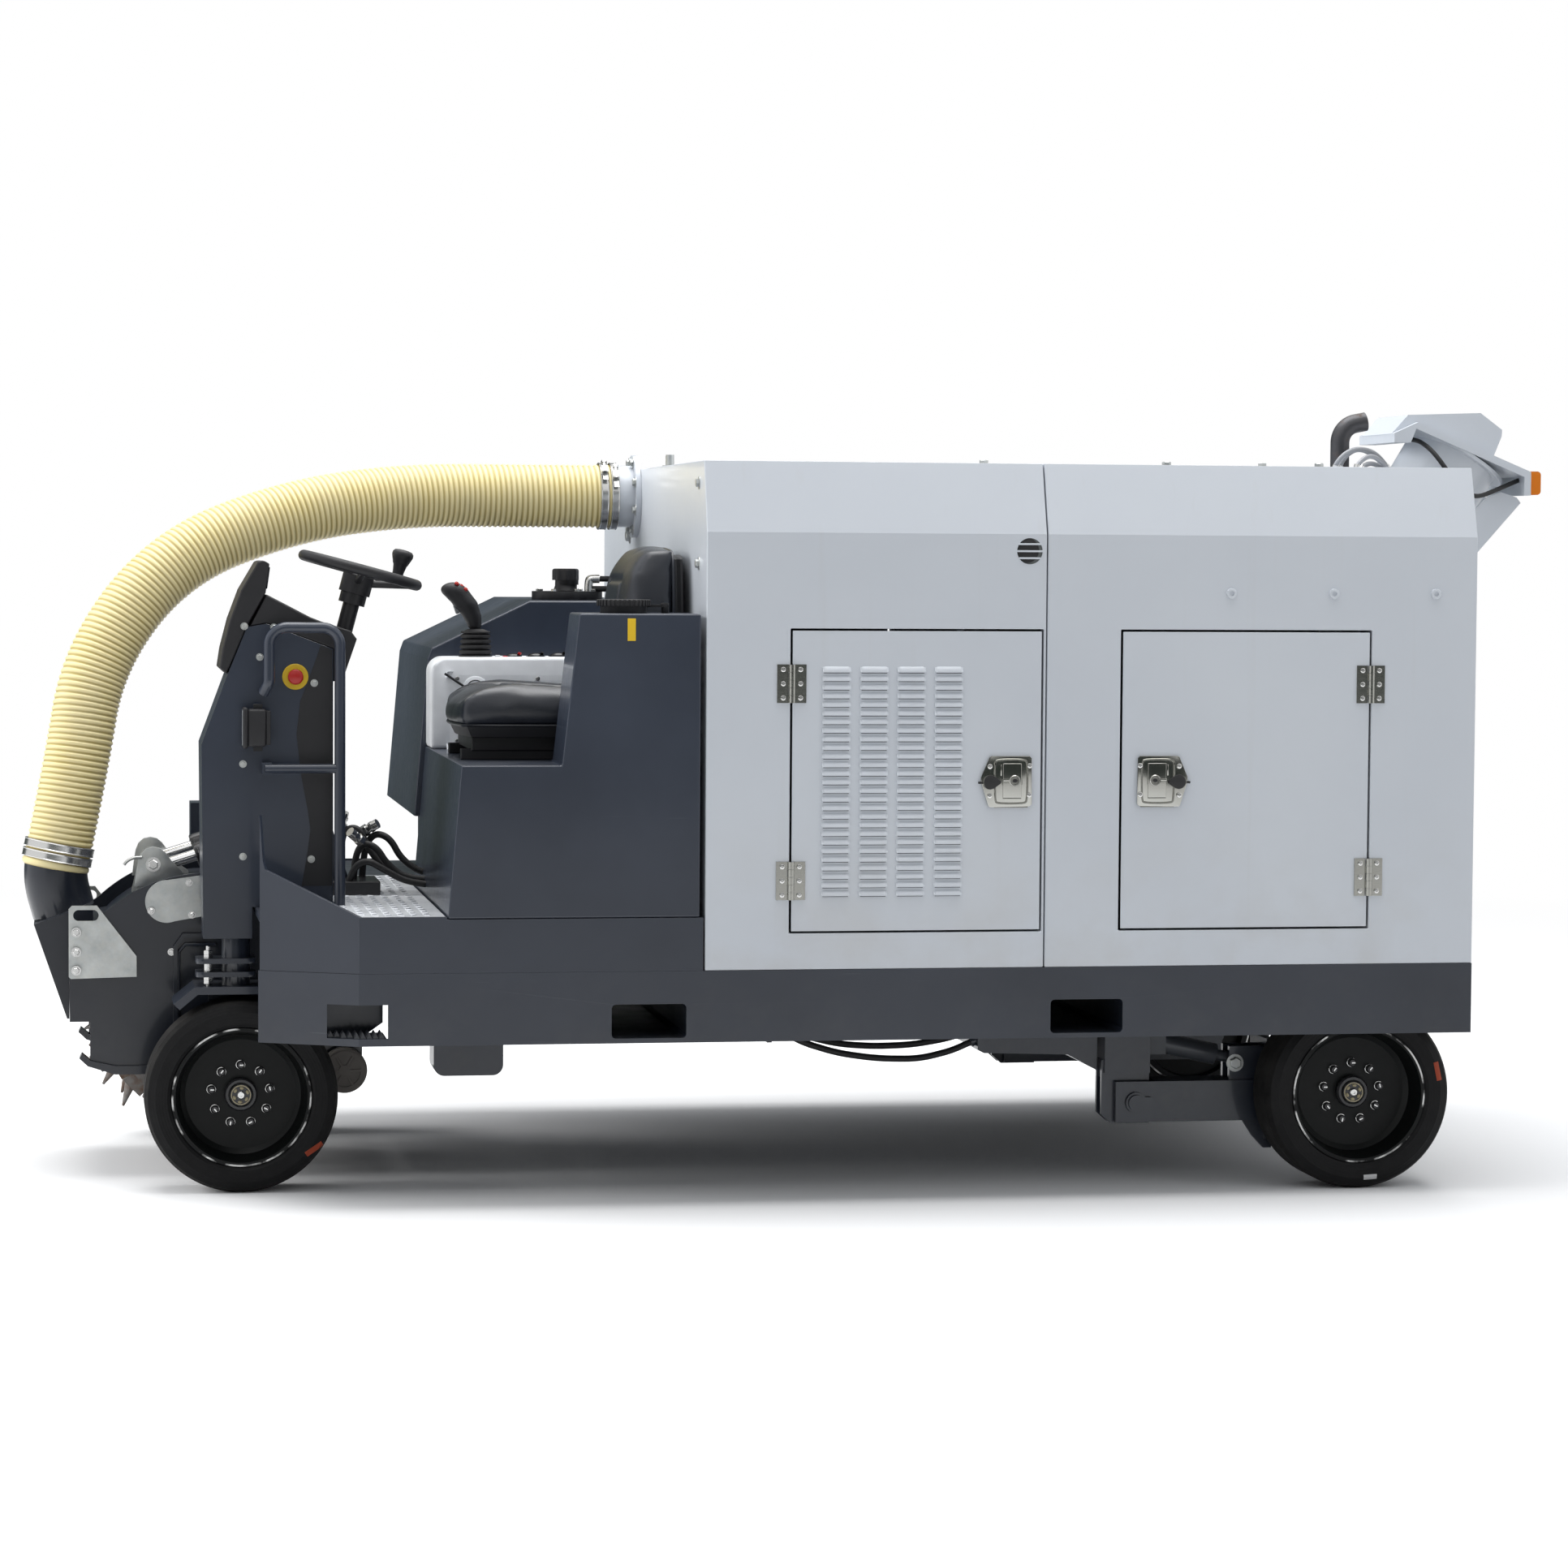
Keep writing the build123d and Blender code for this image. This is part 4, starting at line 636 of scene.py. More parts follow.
wheelPlaces = {"front": (wall - 1.060, 0.230), "rear": (wall + 1.627, 0.230)}
finishes = {
    "frame_paint": framePaint(),
    "white_paint": whitePaint(),
    "tread_aluminium": treadAluminium(),
    "black_steel": blackPlastic("blackSteel", (0.013, 0.013, 0.015), 0.35, 300),
    "zinc_plate": zincPlate(),
    "engine_grey": plainGloss("engineGrey", (0.16, 0.17, 0.19), 0.45),
    "black_plastic": blackPlastic(),
    "seat_leather": seatLeather(),
    "hydraulic_grey": plainGloss("hydraulicGrey", (0.05, 0.055, 0.065), 0.35),
    "hydraulic_black": plainGloss("hydraulicBlack", (0.018, 0.018, 0.02), 0.22),
    "rod_chrome": brightSteel("rodChrome", (0.78, 0.78, 0.78), 0.05),
    "cream_hose": creamHose(),
    "hose_rubber": blackPlastic("hoseRubber", (0.016, 0.016, 0.017), 0.5, 260),
    "exhaust_steel": wornSteel("exhaustSteel", (0.07, 0.07, 0.075), (0.10, 0.07, 0.055), 0.4),
    "amber_lens": amberLens(),
    "drum_steel": wornSteel("drumSteel", (0.22, 0.21, 0.20), (0.17, 0.085, 0.04), 0.9),
    "bright": brightSteel(),
    "stainless": brightSteel("stainless", (0.43, 0.43, 0.40), 0.10),
    # painted light: a whiter copy of the white paint for the console, which stands in shade between the seat and the
    # tower
    "console_white": plainGloss("consoleLitWhite", (0.88, 0.90, 0.93), 0.30),
    "head_paint": framePaint("headPaint", (0.016, 0.020, 0.031), (0.009, 0.012, 0.020), 0.08),
    "gauge_grey": plainGloss("gaugeGrey", (0.17, 0.155, 0.14), 0.6, 0.3),
    "line_grey": plainGloss("lineGrey", (0.30, 0.31, 0.33), 0.35),
    # dark grey for the strips under the louvres: their openings and painted shadow
    "door_gap": plainGloss("gapShadowGrey", (0.075, 0.08, 0.09), 0.6),
}
nodeFinishes = {
    "hinge_leaves": "stainless", "milling_housing": "head_paint", "suction_elbow": "head_paint", "gauge_wheels": "gauge_grey",
}
for node, item in frame["nodes"].items():
    end, kind, *rest = [*node.split("_"), ""]
    if kind == "tyre":
        finish = tyreRubber(node + "Rubber", *wheelPlaces[end])
    elif kind == "rim":
        finish = rimPaint(node + "Paint", *wheelPlaces[end])
    else:
        finish = finishes["stainless" if "door_fittings" in node else nodeFinishes.get(node, slots[node])]
    if not item.material_slots:
        item.data.materials.append(finish)
    for place in item.material_slots:
        place.material = finish
print("finishes made")


# Softened edges on the CAD solids: the width in mm, and the nodes
softEdges = {
    1.0: "tread_plate", 1.2: "plated_brackets",
    2.0: "rear_door_left rear_door_right seat_slide cylinder_anchor suction_elbow tank_caps rear_jacks",
    2.5: "milling_housing discharge_tube",
    3.0: "chassis_frame front_shell rear_shell front_yoke_left front_yoke_right rear_arms",
    3.5: "platform", 4.0: "right_leg belly_boxes", 5.0: "steering_tower seat_box console", 6.0: "tower_cowl tank_housing",
}
for width, names in softEdges.items():
    for node in names.split():
        weld = frame["nodes"][node].modifiers.new("weld", "WELD")
        weld.merge_threshold = 0.00004
        soften = frame["nodes"][node].modifiers.new("soften", "BEVEL")
        soften.width = width / 1000
        soften.segments = 2
        soften.limit_method = "ANGLE"
        soften.angle_limit = math.radians(38)
        soften.harden_normals = True
print("edges softened")


# Suction hose: a helical rib, bent along the route that the solids follow
hose = {
    "route": [
        (wall - 1.487, 0.000, 0.797), (wall - 1.448, 0.006, 0.985), (wall - 1.402, 0.042, 1.265),
        (wall - 1.210, 0.103, 1.515), (wall - 0.905, 0.178, 1.635), (wall - 0.610, 0.250, 1.679),
        (wall - 0.330, 0.285, 1.681), (wall - 0.045, 0.285, 1.681),
    ],
    "bend": ((wall - 0.62, 0.15, 1.66), (wall - 1.487, 0.0, 0.82)),
    "outer": 0.0818, "valley": 0.0785, "pitch": 0.0142, "sides": 48,
    "section": [(0.0, 0.0), (0.16, 0.04), (0.30, 0.60), (0.42, 0.95), (0.55, 1.0), (0.68, 0.95), (0.80, 0.60),
                (0.93, 0.04), (1.0, 0.0)],       # share of the pitch, share of the rib's height
}


def markRidge(item, height):              # the rib's height at each point, for the painted shade in its grooves and the painted highlight on its ribs
    ridge = item.data.attributes.new("ridge", "FLOAT", "POINT")
    ridge.data.foreach_set("value", [height(v.co) for v in item.data.vertices])


def makeHose():
    route = nurbsLine(hose["route"], 24)
    length = route.data.splines[0].calc_length()
    turns = int(length / hose["pitch"])
    pitch = length / turns
    valley = hose["valley"]
    rise = hose["outer"] - valley
    rib = meshOf("suctionHose", [(share * pitch, 0, valley + rise * height) for share, height in hose["section"]], False)
    modify(rib, "SCREW", axis="X", angle=2 * math.pi, screw_offset=pitch, iterations=turns - 1, steps=hose["sides"],
           render_steps=hose["sides"], use_merge_vertices=True, merge_threshold=0.0002)
    onAll(rib, bpy.ops.mesh.remove_doubles, threshold=0.0002)
    markRidge(rib, lambda place: (math.hypot(place.y, place.z) - valley) / rise)
    modify(rib, "CURVE", object=route, deform_axis="POS_X")
    forget(route)
    outward(rib)
    smooth(rib, 60)
    rib.data.materials.append(finishes["cream_hose"])
    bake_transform(rib)
    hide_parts("suction_hose")


makeHose()
print("hose made")


# Seat: an inflated cushion and backrest over a plastic pan and shell
cushion = {
    "middle": (wall - 0.333, -0.485), "half": (0.233, 0.231), "low": 1.122,
    "top": [(0.0, 1.190), (0.10, 1.206), (0.30, 1.214), (0.6, 1.206), (1.0, 1.196)],
    "seams": {"front": wall - 0.431, "rear": wall - 0.080, "sides": (-0.601, -0.369), "channels": (0.075, 0.15, 0.225)},
    "cap": 0.006, "pressure": 2.0, "smoothing": 14,
}
backrest = {
    "middle": -0.485, "half": 0.219, "low": 1.205, "high": 1.549,
    "front": [(1.200, 0.120), (1.290, 0.156), (1.400, 0.166), (1.480, 0.155), (1.552, 0.105)],
    "rear": [(1.200, 0.050), (1.400, 0.044), (1.552, 0.040)],
    "seams": {"sides": (-0.599, -0.371), "low": 1.20, "channels": (1.47, 1.39, 1.31)},
    "cap": 0.006, "pressure": 2.0, "smoothing": 10,
}
voxel = 0.009


def inflate(item, facts, held):          # cloth that swells a little, held where held(point) says
    modify(item, "REMESH", mode="VOXEL", voxel_size=voxel)
    before = [v.co.copy() for v in item.data.vertices]
    pinned = item.vertex_groups.new(name="held")
    pinned.add([v.index for v in item.data.vertices if held(v.co)], 1.0, "ADD")
    cloth = item.modifiers.new("cloth", "CLOTH")
    cloth.settings.use_pressure = True
    cloth.settings.uniform_pressure_force = facts["pressure"]
    cloth.settings.vertex_group_mass = "held"
    cloth.settings.quality = 4
    cloth.settings.tension_stiffness = 12
    cloth.settings.bending_stiffness = 0.6
    cloth.settings.effector_weights.gravity = 0
    for number in range(1, 15):
        bpy.context.scene.frame_set(number)
    pick(item)
    bpy.ops.object.modifier_apply(modifier="cloth")
    item.vertex_groups.clear()
    for v, was in zip(item.data.vertices, before):
        moved = v.co - was
        if moved.length > facts["cap"]:
            v.co = was + moved.normalized() * facts["cap"]
    modify(item, "SMOOTH", factor=0.5, iterations=facts["smoothing"])
    modify(item, "SUBSURF", levels=1, render_levels=1)


def roundedPad(name, shape):             # a cut cube whose corners shape() puts in place
    pad = primitive("cube", size=2)
    pad.name = name
    onAll(pad, bpy.ops.mesh.subdivide, number_cuts=20)
    for v in pad.data.vertices:
        v.co = shape(*v.co)
    return pad


def roundedSquare(a, b):                 # a square's points on bowed sides with rounded corners
    return a * math.sqrt(1 - 0.16 * b * b), b * math.sqrt(1 - 0.13 * a * a)


def roundedTop(b, c):                    # the same for the backrest, rounder at its top
    return b * math.sqrt(1 - 0.20 * max(0.0, c) ** 2), c * math.sqrt(1 - 0.10 * b * b)


def cushionShape(a, b, c):
    a, b = roundedSquare(a, b)
    top = between((a + 1) / 2, cushion["top"]) + 0.012 * max(0.0, abs(b) - 0.55) / 0.45 - 0.004
    top -= 0.010 * max(0.0, -a) ** 8 + 0.006 * abs(b) ** 8
    inset = 1 - 0.085 * max(0.0, c) ** 5 - 0.05 * max(0.0, -c) ** 4
    x, y = [middle + share * inset * half for middle, share, half in zip(cushion["middle"], (a, b), cushion["half"])]
    return Vector((x, y, cushion["low"] + (c + 1) / 2 * (top - cushion["low"])))


def backrestShape(a, b, c):
    b, c = roundedTop(b, c)
    z = backrest["low"] + (c + 1) / 2 * (backrest["high"] - backrest["low"])
    depth = (between(z, backrest["front"]) - 0.022 * abs(b) ** 4) * (1 - a) + between(z, backrest["rear"]) * (1 + a)
    return Vector((wall - depth / 2, backrest["middle"] + b * backrest["half"], z))


def panShape(a, b, c):
    wide, (x, y) = 0.222 + 0.006 * c, cushion["middle"]
    a, b = roundedSquare(a, b)
    return Vector((x + 0.008 + a * wide, y + b * wide, 1.1075 + 0.0125 * c))


def shellShape(a, b, c):
    depth = a * 0.0195 * (1 - 0.25 * abs(b) ** 3) - (0.010 * b * b if a > 0 else 0)
    b, c = roundedTop(b, c)
    return Vector((wall - 0.023 + depth, backrest["middle"] + b * 0.214, 1.322 + 0.208 * c))


def groove(item, lines, way, depth, width):       # seams pulled in along lines; way gives a point's flat place
    for v in item.data.vertices:
        place, facing = way(v)
        if not facing:
            continue
        near = 1e9
        for start, end in lines:
            run, reach = Vector(end) - Vector(start), Vector(place) - Vector(start)
            share = max(0.0, min(1.0, reach.dot(run) / run.length_squared))
            near = min(near, (reach - run * share).length)
        v.co -= v.normal * depth * math.exp(-(near / width) ** 2)


def piping(name, rim):
    dress(tubeAlong(rim, 0.0038, 8), name, "seat_leather")


def onSquare(turned, high=1.0):          # where a ray from the middle meets the square
    a, b = math.cos(turned), math.sin(turned) * high
    reach = 1 / max(abs(a), abs(b), 0.001)
    return a * reach, b * reach


def makeSeat():
    seat = roundedPad("seatCushion", cushionShape)
    inflate(seat, cushion, lambda place: place.z < cushion["low"] + 0.008)
    x0, x1 = cushion["seams"]["front"], cushion["seams"]["rear"]
    yl, yr = cushion["seams"]["sides"]
    seams = [((x0, yl), (x1, yl)), ((x0, yr), (x1, yr)), ((x0, yl), (x0, yr)),
             ((x0, yl), (x0 - 0.10, yl - 0.075)), ((x0, yr), (x0 - 0.10, yr + 0.075))]
    seams += [((x0 + at, yl), (x0 + at, yr)) for at in cushion["seams"]["channels"]]
    groove(seat, seams, lambda v: (v.co.xy, v.normal.z > 0.35), 0.0065, 0.0075)
    dress(seat, "seatCushion", "seat_leather", angle=60)
    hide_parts("seat_cushion")

    back = roundedPad("seatBackPad", backrestShape)
    inflate(back, backrest, lambda place: place.x > wall - 0.056)
    yl, yr = backrest["seams"]["sides"]
    low, channels = backrest["seams"]["low"], backrest["seams"]["channels"]
    seams = [((y, low), (y, channels[0])) for y in (yl, yr)] + [((yl, z), (yr, z)) for z in channels]
    groove(back, seams, lambda v: (v.co.yz, v.normal.x < -0.35), 0.008, 0.008)
    dress(back, "seatBackPad", "seat_leather", angle=60)

    dress(roundedPad("seatPan", panShape), "seatPan", "black_plastic", angle=40)
    shell = dress(roundedPad("seatShell", shellShape), "seatShell", "black_plastic", angle=40)
    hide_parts("seat_back")

    rim = []
    for step in range(41):
        a, b = roundedSquare(*onSquare(2 * math.pi * step / 40 + 0.3))
        rim.append((cushion["middle"][0] + a * 0.2235, cushion["middle"][1] + b * 0.2205, 1.1225))
    piping("cushionPiping", rim)
    rim = []
    for step in range(33):
        b, c = roundedTop(*onSquare(math.pi * (step / 32 * 1.16 - 0.08), 1.1))
        rim.append((wall - 0.0425, backrest["middle"] + b * 0.2195, 1.3725 + c * 0.172))
    piping("backPiping", rim)


makeSeat()
print("seat made")


# Bolts and screws
def hexBolt(radius, height, washer=True):         # a hexagon head with a turned chamfer, on a washer
    head = primitive("cylinder", vertices=6, radius=radius, depth=height, location=(0, 0, height / 2 + 0.0012 * washer))
    onSome(head, "EDGE", lambda edge: all(v.co.z > height * 0.8 for v in edge.verts),
           bpy.ops.mesh.bevel, offset=radius * 0.14, segments=1)
    discs = [primitive("cylinder", vertices=20, radius=radius * 1.45, depth=0.0024, location=(0, 0, 0.0008))] if washer else []
    return joinAll("hexBolt", head, *discs)


def roundScrew(radius, height):                   # a low domed head with a socket
    head = primitive("cylinder", vertices=20, radius=radius, depth=height, location=(0, 0, height / 2 - 0.0002))
    onSome(head, "EDGE", lambda edge: all(v.co.z > height * 0.6 for v in edge.verts),
           bpy.ops.mesh.bevel, offset=height * 0.45, segments=2)
    mark = max(head.data.polygons, key=lambda p: p.center.z).index
    onSome(head, "FACE", lambda f: f.index == mark, bpy.ops.mesh.inset, thickness=radius * 0.32, depth=0)
    tops = [p for p in head.data.polygons if p.center.z > height * 0.6 and abs(p.normal.z) > 0.9]
    mark = min(tops, key=lambda p: p.center.xy.length * 10 - len(p.vertices)).index
    onSome(head, "FACE", lambda f: f.index == mark, bpy.ops.mesh.inset, thickness=0.0001, depth=-height * 0.5)
    return head


boltModels = {
    "large": hexBolt(0.015, 0.011), "middle": hexBolt(0.0105, 0.008), "small": hexBolt(0.0062, 0.006),
    "bossy": hexBolt(0.0082, 0.006), "flange": hexBolt(0.0095, 0.008), "clevis": hexBolt(0.0125, 0.008),
    "roof": hexBolt(0.011, 0.009), "filler": hexBolt(0.0075, 0.006, False), "arm": hexBolt(0.0125, 0.010, False),
    "screw": roundScrew(0.0062, 0.0036), "wide": roundScrew(0.013, 0.007), "latch": roundScrew(0.0062, 0.0040),
    "panel": roundScrew(0.0055, 0.0032),
}
boltSets = [                              # name, model, body, finish, facing, on both sides, places in mm
    ("sideBolts", "wide", "chassis", "white_paint", left, True, [(1261, -950, 1447), (1514, -950, 1447), (1767, -950, 1448)]),
    ("wallBolts", "middle", "chassis", "zinc_plate", front, False,
     [(0, -823, 1510), (0, -823, 1700), (0, 120, 1510), (0, -200, 1290), (0, -823, 1290)]),
    ("wallLargeBolts", "large", "chassis", "zinc_plate", front, False, [(0, 410, 1580)]),
    ("towerBolts", "small", "chassis", "zinc_plate", left, False,
     [(-1016, -560, 1281), (-887, -560, 1219), (-894, -560, 798), (-1056, -560, 1026), (-1056, -560, 805)]),
    ("strapBolts", "small", "chassis", "zinc_plate", left, False, [(-1053, -566, 1354), (-983, -566, 1352)]),
    ("coverBolts", "small", "head", "bright", left, True, [(-1176, -306, 724), (-1268, -310, 656), (-1169, -306, 645)]),
    ("bracketBolts", "bossy", "head", "bright", left, True, [(-1448, -317, 605), (-1448, -317, 557), (-1448, -317, 512)]),
    ("ribBolts", "small", "head", "bright", left, True, [(-1219, -300, 554)]),
    ("clevisBolts", "clevis", "head", "bright", left, True, [(-1260, -186, 760)]),
    ("bellyBolts", "middle", "chassis", "black_steel", left, False, [(-596, -560, 372), (-470, -560, 372)]),
    ("armBolts", "large", "chassis", "zinc_plate", left, True, [(1364, -666, 290)]),
    ("consoleScrews", "panel", "chassis", "bright", left, False,
     [(-504, -106.7, 1217), (-301, -106.7, 1217), (-504, -106.7, 1060), (-124, -106.7, 1217)]),
    ("roofBolts", "roof", "chassis", "zinc_plate", up, False, [(x, y, 1751) for y in (-800, 800) for x in (689, 1138, 1376, 1518)]),
    ("fillerBolts", "filler", "chassis", "bright", up, False, [
        (-180 + 78 * math.cos(math.radians(45 * n + 12)), 300 + 78 * math.sin(math.radians(45 * n + 12)), 1433.2)
        for n in range(8)]),
]


def boltSet(name, model, body, finish, places):
    dress(spread(boltModels[model], name, [aimed(*row) for row in places]), name, finish, body, 30)


def both(places):                        # the same places on the right-hand side too
    return places + [(Vector((p.x, -p.y, p.z)), (f[0], -f[1], f[2]), -r) for p, f, r in places]


def at(facing, *rows):
    return [(spot(*row), facing, 0.37 * index) for index, row in enumerate(rows)]


def makeBolts():
    for name, model, body, finish, facing, mirrored, rows in boltSets:
        places = at(facing, *rows)
        boltSet(name, model, body, finish, both(places) if mirrored else places)
    hinges = []
    for edge in (201.5, 1607.5):
        for low in (724, 1186):
            for part in (0.13, 0.5, 0.87):
                hinges += at(left, *[(edge + way * 20.5, -953.2, low + 90 * part) for way in (-1, 1)])
    sets = {}
    for row in both(hinges):
        side = "left" if row[0].y < 0 else "right"
        along = (row[0].x - wall) * 1000
        end = "front" if 201.5 < along < 300 else "rear" if 1500 < along < 1607.5 else None
        key = (f"hingeScrews_{end}_door_{side}", f"{end}_door_{side}") if end else ("hingeScrewsFixed", "chassis")
        sets.setdefault(key, []).append(row)
    for (name, body), rows in sets.items():
        boltSet(name, "screw", body, "bright", rows)


makeBolts()
print("bolts made")


# Doors: pressed louvres, polished latches; a round vent on the side; a knob on the steering wheel
doors = {
    "face": 950.0,
    "columns": (274.0, 364.0, 453.0, 543.0), "length": 68.0, "rows": 27, "first": 1258.0, "step": 20.2,
    "scoop": [(13.8, 0.0), (13.0, 0.9), (10.5, 3.4), (7.5, 5.6), (4.5, 7.0), (2.2, 7.7), (0.6, 7.7), (-0.6, 7.2), (0.3, 6.2),
              (1.4, 0.0)],                # height, how proud
    "shares": [0.0, 0.012, 0.03, 0.06, 0.10, 0.15, 0.5, 0.85, 0.90, 0.94, 0.97, 0.988, 1.0],
    "latches": {"front_door": (720.0, 1), "rear_door": (1092.0, -1)},     # middle, and the way the lock cap lies
    "plate": [(-40, 1061), (52, 1061), (57, 1056), (58, 947), (53, 942), (-43, 940), (-47, 943), (-65, 1000), (-65, 1011),
              (-45, 1058)],
    "rim": [(-32, 1046), (-32, 956), (-25, 949), (40, 949), (47, 956), (47, 1046), (40, 1053), (-25, 1053), (-32, 1046),
            (-32, 1040)],
    "vent": (769.0, 1544.0, 31.0),
    "knob": [(0.0, -0.046), (0.0135, -0.046), (0.0138, -0.030), (0.0165, -0.014), (0.0232, 0.002), (0.0262, 0.011),
             (0.0258, 0.018), (0.0210, 0.0235), (0.011, 0.0255), (0.0, 0.026)],
}


def makeLouvres():
    section, shares = doors["scoop"], doors["shares"]
    scoop = primitive("grid", x_subdivisions=len(shares) - 1, y_subdivisions=len(section) - 1, size=2)
    columns = sorted({round(v.co.x, 4) for v in scoop.data.vertices})
    rows = sorted({round(v.co.y, 4) for v in scoop.data.vertices})
    for v in scoop.data.vertices:
        share = shares[min(range(len(columns)), key=lambda n: abs(columns[n] - v.co.x))]
        height, proud = section[min(range(len(rows)), key=lambda n: abs(rows[n] - v.co.y))]
        swell = math.sqrt(1 - (1 - min(1.0, min(share, 1 - share) / 0.13)) ** 2)
        rise = max(0.0, height) * (0.35 + 0.65 * swell) + min(0.0, height)
        v.co = Vector((share * (doors["length"] + 1), -proud * swell, rise)) / 1000
    # dark strips under the louvres: the louvres' openings, and painted shadow below their lips
    slitShadow = bevelled((0.004, -0.0006, -0.0026), (0.065, 0.0002, 0.0012), 0.0002, 1)
    for side, label in ((-1, "left"), (1, "right")):
        places = [Matrix.Translation(spot(x, side * doors["face"], doors["first"] - doors["step"] * row)) @ stretch(1, -side, 1)
                  for x in doors["columns"] for row in range(doors["rows"])]
        for model, name, finish, angle in ((scoop, "louvres", "white_paint", 45), (slitShadow, "louvreGapShadows", "door_gap", 0)):
            made = spread(model, name, places)
            outward(made)
            dress(made, f"{name}_{label}", finish, f"front_door_{label}", angle)
    forget(scoop, slitShadow)


def makeLatch(name, side):
    middle, toward = doors["latches"][name]
    body = f"{name}_{'left' if side < 0 else 'right'}"
    facing = (0, side, 0)

    def place(a, z, deep):                        # a: mm from the middle, + away from the lock cap
        return spot(middle + toward * a, side * (doors["face"] + deep), z)

    def box(a0, a1, z0, z1, d0, d1, width=0.001, segments=2):
        ends = list(zip(place(a0, z0, d0), place(a1, z1, d1)))
        return bevelled([min(pair) for pair in ends], [max(pair) for pair in ends], width, segments)

    plate = plateOf([(middle + toward * a, z) for a, z in doors["plate"]], side * 955.2, side * 956.6, 0.0005)
    hollow = box(-23.5, 37, 957.5, 1044.5, 940, 970)
    modify(plate, "BOOLEAN", operation="DIFFERENCE", object=hollow)
    forget(hollow)
    eye = lathe([(0.0, 0.0), (0.0132, 0.0), (0.0132, 0.0030), (0.0118, 0.0042), (0.0085, 0.0042), (0.0078, 0.0032),
                 (0.0, 0.0032)], 36, aimed(place(15.3, 1003, 10.0), facing))
    whole = joinAll(
        "latch", plate, tubeAlong([place(a, z, 7.0) for a, z in doors["rim"]], 0.0024, 10),
        box(-12.5, 32.5, 962, 1044, 3.0, 10.2, 0.0016, 3), box(-12.5, 32.5, 958.5, 962.5, 3.0, 8.0, 0.0010, 2), eye,
        box(-12.4, 5.5, 1001.8, 1007.2, 10.0, 12.6, 0.0009, 2), box(-18.2, -14.8, 1014, 1041, 3.0, 7.5, 0.0012, 2))
    dress(whole, f"latch_{body}", "stainless", body, 35)
    key = lathe([(0.0, 0.0), (0.0062, 0.0), (0.0058, 0.0008), (0.0, 0.0008)], 20,
                aimed(place(15.8, 1003, 13.3), facing) @ stretch(1.0, 0.72, 1.0))
    cover = lathe([(0.0, 0.0), (0.0172, 0.0), (0.0176, 0.0035), (0.0165, 0.0078), (0.012, 0.0096), (0.0, 0.0102)], 32)
    for v in cover.data.vertices:
        reach = max(0.0, v.co.x) / 0.0176
        v.co.x = (v.co.x + 0.009 * reach ** 2) * toward
        v.co.y *= 1 - 0.45 * reach ** 2
    turned = Matrix(((1, 0, 0, 0), (0, 0, side, 0), (0, 1, 0, 0), (0, 0, 0, 1)))
    cover.data.transform(Matrix.Translation(place(-43, 999.5, 4.6)) @ turned)
    outward(cover)
    dark = joinAll("latchDark", key, cover, box(-72, -58, 995.5, 1001, 4.6, 8.0, 0.0015, 2))
    dress(dark, f"latchCover_{body}", "hose_rubber", body, 35)
    corners = ((-44, 1036.5), (52, 1038), (-44.5, 967.5), (51, 969))
    boltSet(f"latchScrews_{body}", "latch", body, "bright", [(place(a, z, 6.5), facing, 0.4 * z) for a, z in corners])


def makeVents():
    x, z, radius = doors["vent"]
    r = radius / 1000
    # the dish carries the hole's painted shade and the painted light on its inner wall
    hole = ventHoleShade(wall + x / 1000, z / 1000)
    for side, label in ((-1, "Left"), (1, "Right")):
        place = aimed(spot(x, side * doors["face"], z), (0, side, 0))
        dress(lathe([(0.0, 0.0), (r, 0.0), (r, 0.0006), (0.0, 0.0006)], 56, place), f"ventDish{label}", hole)
        inner, outer = r - 0.0002, r + 0.0016
        bars = [lathe([(inner, 0.0), (outer, 0.0), (outer - 0.0003, 0.0012), (inner, 0.0012), (inner, 0.0)], 56, place)]
        for height in (-16.5, 0.0, 16.5):
            half = math.sqrt(radius ** 2 - height ** 2)
            ends = list(zip(spot(x - half, side * 950, z + height - 2.2), spot(x + half, side * 952, z + height + 2.2)))
            bars.append(bevelled([min(pair) for pair in ends], [max(pair) for pair in ends], 0.0006, 1))
        dress(joinAll("guard", *bars), f"ventGuard{label}", "white_paint", angle=35)


def makeKnob():
    axis = Vector(next(joint for joint in frame["joints"] if joint["name"] == "steering_turn")["axis"])
    knob = lathe(doors["knob"], 40, aimed(spot(-663.1, -348, 1512.5), axis if axis.z > 0 else -axis))
    dress(knob, "wheelKnob", "black_plastic", "steering_wheel", 60)


makeLouvres()
for door in doors["latches"]:
    makeLatch(door, -1)
    makeLatch(door, 1)
makeVents()
makeKnob()
print("doors made")


# Wheels: nuts on studs, hub caps and paint marks, each riding on its wheel
wheels = {
    "places": {"front_wheel_left": ("front", -0.507, -1), "front_wheel_right": ("front", 0.507, 1),
               "rear_wheel_left": ("rear", -0.770, -1), "rear_wheel_right": ("rear", 0.770, 1)},
    "nuts": 9, "circle": 0.071, "floor": 0.004,
    "marks": {"front": [("Red", 0.172, -0.126, 0.047, 0.013, 33)],      # x and z from the hub, length, width, turn
              "rear": [("Red", 0.196, 0.055, 0.046, 0.0125, 102), ("White", 0.029, -0.201, 0.033, 0.012, 3)]},
}


def patchOn(node, x, z, long, wide, turned, way):         # a thin painted patch laid on a tyre's side
    patch = primitive("grid", x_subdivisions=16, y_subdivisions=5, size=1, at=turn(turned, "Z") @ stretch(long, wide, 1))
    tyre = frame["nodes"][node]
    for v in patch.data.vertices:
        start = tyre.matrix_world.inverted() @ Vector((x + v.co.x, way * 2.0, z + v.co.y))
        place = tyre.ray_cast(start, Vector((0, -way, 0)))[1]
        v.co = tyre.matrix_world @ place + Vector((0, way * 0.0004, 0))
    modify(patch, "SOLIDIFY", thickness=0.0008, offset=0.0)
    outward(patch)
    return patch


